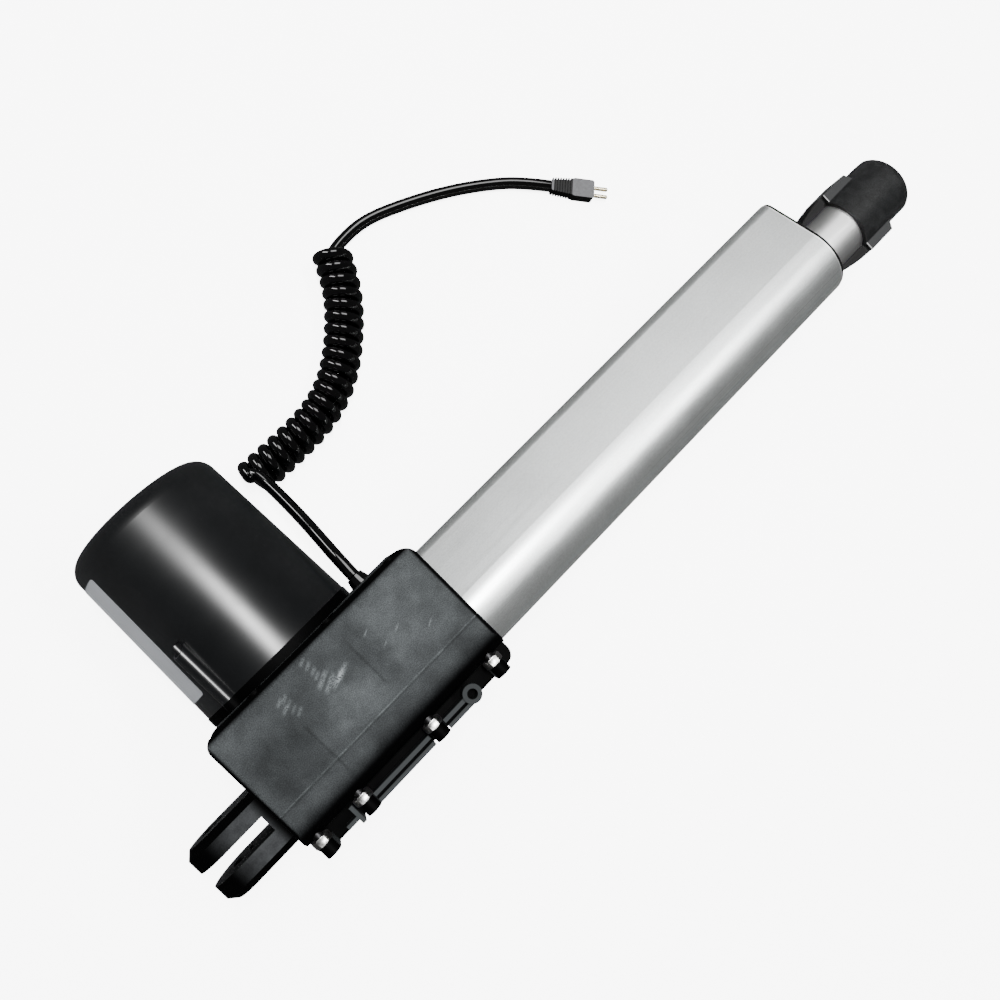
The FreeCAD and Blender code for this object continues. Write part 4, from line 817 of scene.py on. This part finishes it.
class ACTUATOR_OT_housing(bpy.types.Operator):
    """Finishes the gearbox and the fork"""
    bl_idname = "actuator.housing"
    bl_label = "Gearbox and fork"

    def execute(self, context):
        colours = context.scene.actuator_colours
        gearbox = moulded("gearbox_moulding", colours.gearbox, rough=(0.5, 0.62), grain=0.00045, mottle=0.009,
                          spread=0.3, gloss=0.02)
        grit = gearbox.between(gearbox.noise(0.0004, detail=2.0), *NOISE_MIDDLE)
        tone = gearbox.tint(grit, gearbox.tint(1.0, gearbox.tone, factor=0.72), factor=1.9)
        for centre, half, factor in SMUDGES:
            mask = gearbox.patch(centre, half, (SMUDGE_SOFT, SMUDGE_SOFT))
            tone = gearbox.tint(gearbox.ragged(mask, SMUDGE_SOFT), tone, factor)
        # Painted shade: dark lines along the creases.
        for x, low, high in CREASE_SHADES:
            line = gearbox.patch((x, (low + high) / 2), (CREASE_SHADE_HALF, (high - low) / 2), CREASE_SHADE_SOFT)
            tone = gearbox.tint(line, tone, factor=0.72)
        broken = gearbox.between(gearbox.noise(0.0006, detail=2.0), 0.3, 0.55)
        for places, length, width, factor in SCUFFS:
            for place in places:
                mark = gearbox.patch(place, (length / 2, width / 2), (length / 4, width / 3), SCUFF_TURN)
                tone = gearbox.tint(gearbox.both(mark, broken), tone, factor)
        fleck = gearbox.between(gearbox.noise((0.006, 0.002, 0.002), detail=4.0), 0.36, 0.62, 0.25, 1.0)
        seam = gearbox.both(gearbox.band(1, SPINDLE_Y, *SEAM_BAND), fleck)
        tone = gearbox.tint(seam, tone, factor=2.0)
        tone = gearbox.tint(gearbox.band(1, SPINDLE_Y - SEAM_SHADOW, *SEAM_BAND), tone, factor=0.75)
        # Painted shade: level faces below the gearbox's top turn black, save the guides' tops, which keep the
        # plain colour.
        top = gearbox.between(gearbox.axis(2), *(GEARBOX_TOP - fade for fade in LEDGE_SHADE_FADE))
        # Painted shade: the top turns black towards -Y, past the seam.
        side = gearbox.between(gearbox.axis(1), *(SPINDLE_Y - fade for fade in FAR_SIDE_SHADE_FADE))
        tone = gearbox.mix(side, colours.edge, tone)
        guide = gearbox.band(2, GUIDE_TOP, *GUIDE_BAND)
        flat = gearbox.mix(top, gearbox.mix(guide, colours.edge, colours.gearbox), tone)
        # Painted shade: steep walls take a darker copy of the tone, and the rounded edges between walls and
        # level faces are black.
        shaded_tone = gearbox.tint(1.0, gearbox.tone, factor=0.4)
        shaded_wall = gearbox.mix(gearbox.upward(*LEAN_STEEP), shaded_tone, colours.edge)
        gearbox.colour(gearbox.mix(gearbox.upward(*LEAN_TOP), shaded_wall, flat))
        dress(gearbox.material, "gearbox_housing", "gearbox_cover")

        fork = moulded("fork_moulding", colours.fork, rough=(0.5, 0.65), grain=0.0006, grain_depth=0.00003,
                       mottle=0.005, gloss=0.02)
        along = fork.axis(0)
        # Painted shadow: the flats within a few millimetres of the gearbox's rear take the wall colour, as
        # shadow cast by the gearbox.
        out_of_shadow = fork.between(along, *(GEARBOX_REAR - fade for fade in FORK_ROOT_SHADOW), 1.0, 0.0)
        # Painted shade: steep walls take a darker copy of the tone, and rounded edges are black.
        shaded_tone = fork.tint(1.0, fork.tone, factor=0.3)
        shaded_wall = fork.mix(fork.upward(*LEAN_STEEP), shaded_tone, colours.edge)
        # Painted shade: the flats darken into the wall colour towards the fork's tip.
        root = fork.between(along, *(GEARBOX_REAR - fade for fade in FORK_TIP_SHADE))
        flat = fork.mix(root, shaded_wall, fork.tone)
        fork.colour(fork.mix(fork.both(fork.upward(*LEAN_TOP), out_of_shadow), shaded_wall, flat))
        dress(fork.material, "rear_fork")
        return {"FINISHED"}


class ACTUATOR_OT_motor(bpy.types.Operator):
    """Finishes the motor cover and sticks a bare label on its side"""
    bl_idname = "actuator.motor"
    bl_label = "Motor cover and label"

    def execute(self, context):
        colours = context.scene.actuator_colours
        motor = moulded("motor_moulding", colours.motor, rough=None, grain=0.0006, grain_depth=0.0000002,
                        mottle=0.02, spread=0.2, gloss=0.4)
        dust = motor.between(motor.noise(0.0011, detail=1.0), 0.81, 0.84)
        motor.colour(motor.mix(dust, motor.tone, (0.04, 0.04, 0.04, 1)))
        far_end = COVER_START + COVER_TAPER[2]
        worn = motor.between(motor.axis(1), COVER_START + COVER_WORN, far_end, 0.276, 0.375)
        smear = motor.between(motor.noise((0.02, 0.012, 0.012), detail=4.0), 0.4, 0.65, 0.0, 0.018)
        motor.rough(motor.maths("ADD", worn, smear))
        dress(motor.material, "motor_cover")

        label = label_sheet("bare_label")
        film = moulded("label_film", colours.label, rough=(0.3, 0.42), grain=0.0004, grain_depth=0.000002,
                       spread=0.04)
        label.data.materials.append(film.material)
        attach(label, "actuator_body")
        return {"FINISHED"}


class ACTUATOR_OT_tubes(bpy.types.Operator):
    """Finishes the outer tube, its end cap, the push tube and the connector"""
    bl_idname = "actuator.tubes"
    bl_label = "Tubes and connector"

    def execute(self, context):
        colours = context.scene.actuator_colours
        tube = drawn_metal("tube_anodised", colours.tube, rough=(0.34, 0.42), lines=0.0006, spread=0.06,
                           metallic=0.95)
        grit = tube.between(tube.noise((0.0009, 0.0004, 0.0004), detail=2.0), 0.32, 0.68)
        tone = tube.tint(grit, tube.tint(1.0, tube.tone, factor=0.93), factor=1.15)
        marks = tube.between(tube.noise((0.12, 0.0005, 0.0005), detail=1.0), 0.6, 0.68)
        lower = tube.between(tube.axis(1), *(SPINDLE_Y - fade for fade in TUBE_LOWER), 1.0, 0.0)
        tone = tube.tint(tube.both(marks, lower), tone, factor=0.75)
        # Painted highlight: a near-white band along the tube's front edge.
        rim_highlight = tube.band(0, TUBE_FRONT, *TUBE_RIM_HIGHLIGHT_BAND)
        tube.colour(tube.mix(rim_highlight, tone, (0.95, 0.95, 0.95, 1)))
        dress(tube.material, "outer_tube")

        push = drawn_metal("push_tube_drawn", colours.push_tube, rough=(0.36, 0.44), lines=0.0004)
        dress(push.material, "push_tube")
        cap = moulded("cap_moulding", colours.edge, gloss=0.15)
        dress(cap.material, "tube_end_cap")

        connector = moulded("connector_moulding", colours.connector, rough=(0.42, 0.5), mottle=0.004,
                            gloss=0.16)
        # Painted light: the cheeks' level tops are a lighter copy of the tone, as if lit.
        cheek = connector.both(connector.upward(*LEAN_CHEEK), connector.band(2, CHEEK_TOP, *CHEEK_TOP_LIGHT_BAND))
        # Painted highlight: a light line along the cheeks' rear edge.
        rim_highlight = connector.both(cheek, connector.band(0, CHEEK_REAR, *CHEEK_RIM_HIGHLIGHT_BAND))
        grit = connector.between(connector.noise(0.0004, detail=2.0), *NOISE_MIDDLE)
        tone = connector.tint(grit, connector.tint(1.0, connector.tone, factor=0.55), factor=3.0)
        tone = connector.mix(cheek, tone, shade(colours.connector, 3.0))
        tone = connector.mix(rim_highlight, tone, (0.3, 0.3, 0.3, 1))
        # Painted shade: the wings behind the cheeks are black.
        shaded_wing = connector.between(connector.axis(0), *(CHEEK_REAR - fade for fade in WING_SHADE_FADE), 1.0, 0.0)
        connector.colour(connector.mix(shaded_wing, tone, colours.edge))
        dress(connector.material, "front_connector")
        return {"FINISHED"}


class ACTUATOR_OT_drive(bpy.types.Operator):
    """Finishes the pieces inside: bearings, gears, spindle, switches and the motor's works"""
    bl_idname = "actuator.drive"
    bl_label = "Drive and small pieces"

    def execute(self, context):
        ground = turned_metal("ground_steel", (0.7, 0.7, 0.72, 1), rough=(0.12, 0.2))
        for bearing in ("rear_bearing", "front_bearing"):
            dress(ground.material, bearing + "_outer_race", bearing + "_inner_race", bearing + "_balls")
        rolled = drawn_metal("rolled_steel", (0.55, 0.55, 0.56, 1))
        dress(rolled.material, "spindle", "connector_cross_pin", "worm_shaft")
        acetal = moulded("acetal", (0.72, 0.68, 0.58, 1), rough=(0.35, 0.45), spread=0.06)
        dress(acetal.material, "worm_wheel", "drive_nut", "guide_bush", "push_tube_guide_ring")
        bronze = turned_metal("sintered_bronze", (0.62, 0.45, 0.22, 1), rough=(0.4, 0.55))
        dress(bronze.material, "motor_front_bush", "motor_rear_bush", "worm_tail_bush")
        ferrite = moulded("ferrite", (0.05, 0.05, 0.052, 1), rough=(0.6, 0.75))
        dress(ferrite.material, "motor_magnets")
        lamination = drawn_metal("lamination", (0.3, 0.3, 0.32, 1), rough=(0.4, 0.55))
        dress(lamination.material, "armature")
        copper = turned_metal("copper", (0.75, 0.4, 0.25, 1))
        dress(copper.material, "commutator")
        carbon = moulded("carbon", (0.02, 0.02, 0.021, 1), rough=(0.7, 0.85))
        dress(carbon.material, "carbon_brushes")
        resist = moulded("solder_resist", (0.02, 0.12, 0.05, 1), rough=(0.25, 0.35))
        dress(resist.material, "limit_switch_board")
        switch = moulded("switch_moulding", (0.02, 0.02, 0.021, 1))
        dress(switch.material, "limit_switches", "brush_holder")
        rubber = moulded("seal_rubber", (0.012, 0.012, 0.012, 1), rough=(0.6, 0.75))
        dress(rubber.material, "wiper_seal")
        return {"FINISHED"}


class ACTUATOR_PT_panel(bpy.types.Panel):
    """Lists the steps of the actuator"""
    bl_label = "Actuator"
    bl_idname = "ACTUATOR_PT_panel"
    bl_space_type = "VIEW_3D"
    bl_region_type = "UI"
    bl_category = "Actuator"

    def draw(self, context):
        for step in OPERATORS:
            self.layout.operator(step.bl_idname)


OPERATORS = (ACTUATOR_OT_stage, ACTUATOR_OT_plug, ACTUATOR_OT_lead, ACTUATOR_OT_fasteners,
             ACTUATOR_OT_housing, ACTUATOR_OT_motor, ACTUATOR_OT_tubes, ACTUATOR_OT_drive)
GROUPS = {"actuator_lead": ActuatorLead, "actuator_fasteners": ActuatorFasteners,
          "actuator_colours": ActuatorColours, "actuator_stage": ActuatorStage}


def register():
    for group in GROUPS.values():
        bpy.utils.register_class(group)
    for name, group in GROUPS.items():
        setattr(bpy.types.Scene, name, PointerProperty(type=group))
    for step in OPERATORS:
        bpy.utils.register_class(step)
    bpy.utils.register_class(ACTUATOR_PT_panel)


def unregister():
    bpy.utils.unregister_class(ACTUATOR_PT_panel)
    for step in reversed(OPERATORS):
        bpy.utils.unregister_class(step)
    for name, group in GROUPS.items():
        delattr(bpy.types.Scene, name)
        bpy.utils.unregister_class(group)


def main():
    register()
    bpy.ops.actuator.stage()
    bpy.ops.actuator.plug()
    bpy.ops.actuator.lead()
    bpy.ops.actuator.fasteners()
    bpy.ops.actuator.housing()
    bpy.ops.actuator.motor()
    bpy.ops.actuator.tubes()
    bpy.ops.actuator.drive()


if __name__ == "__main__":
    main()
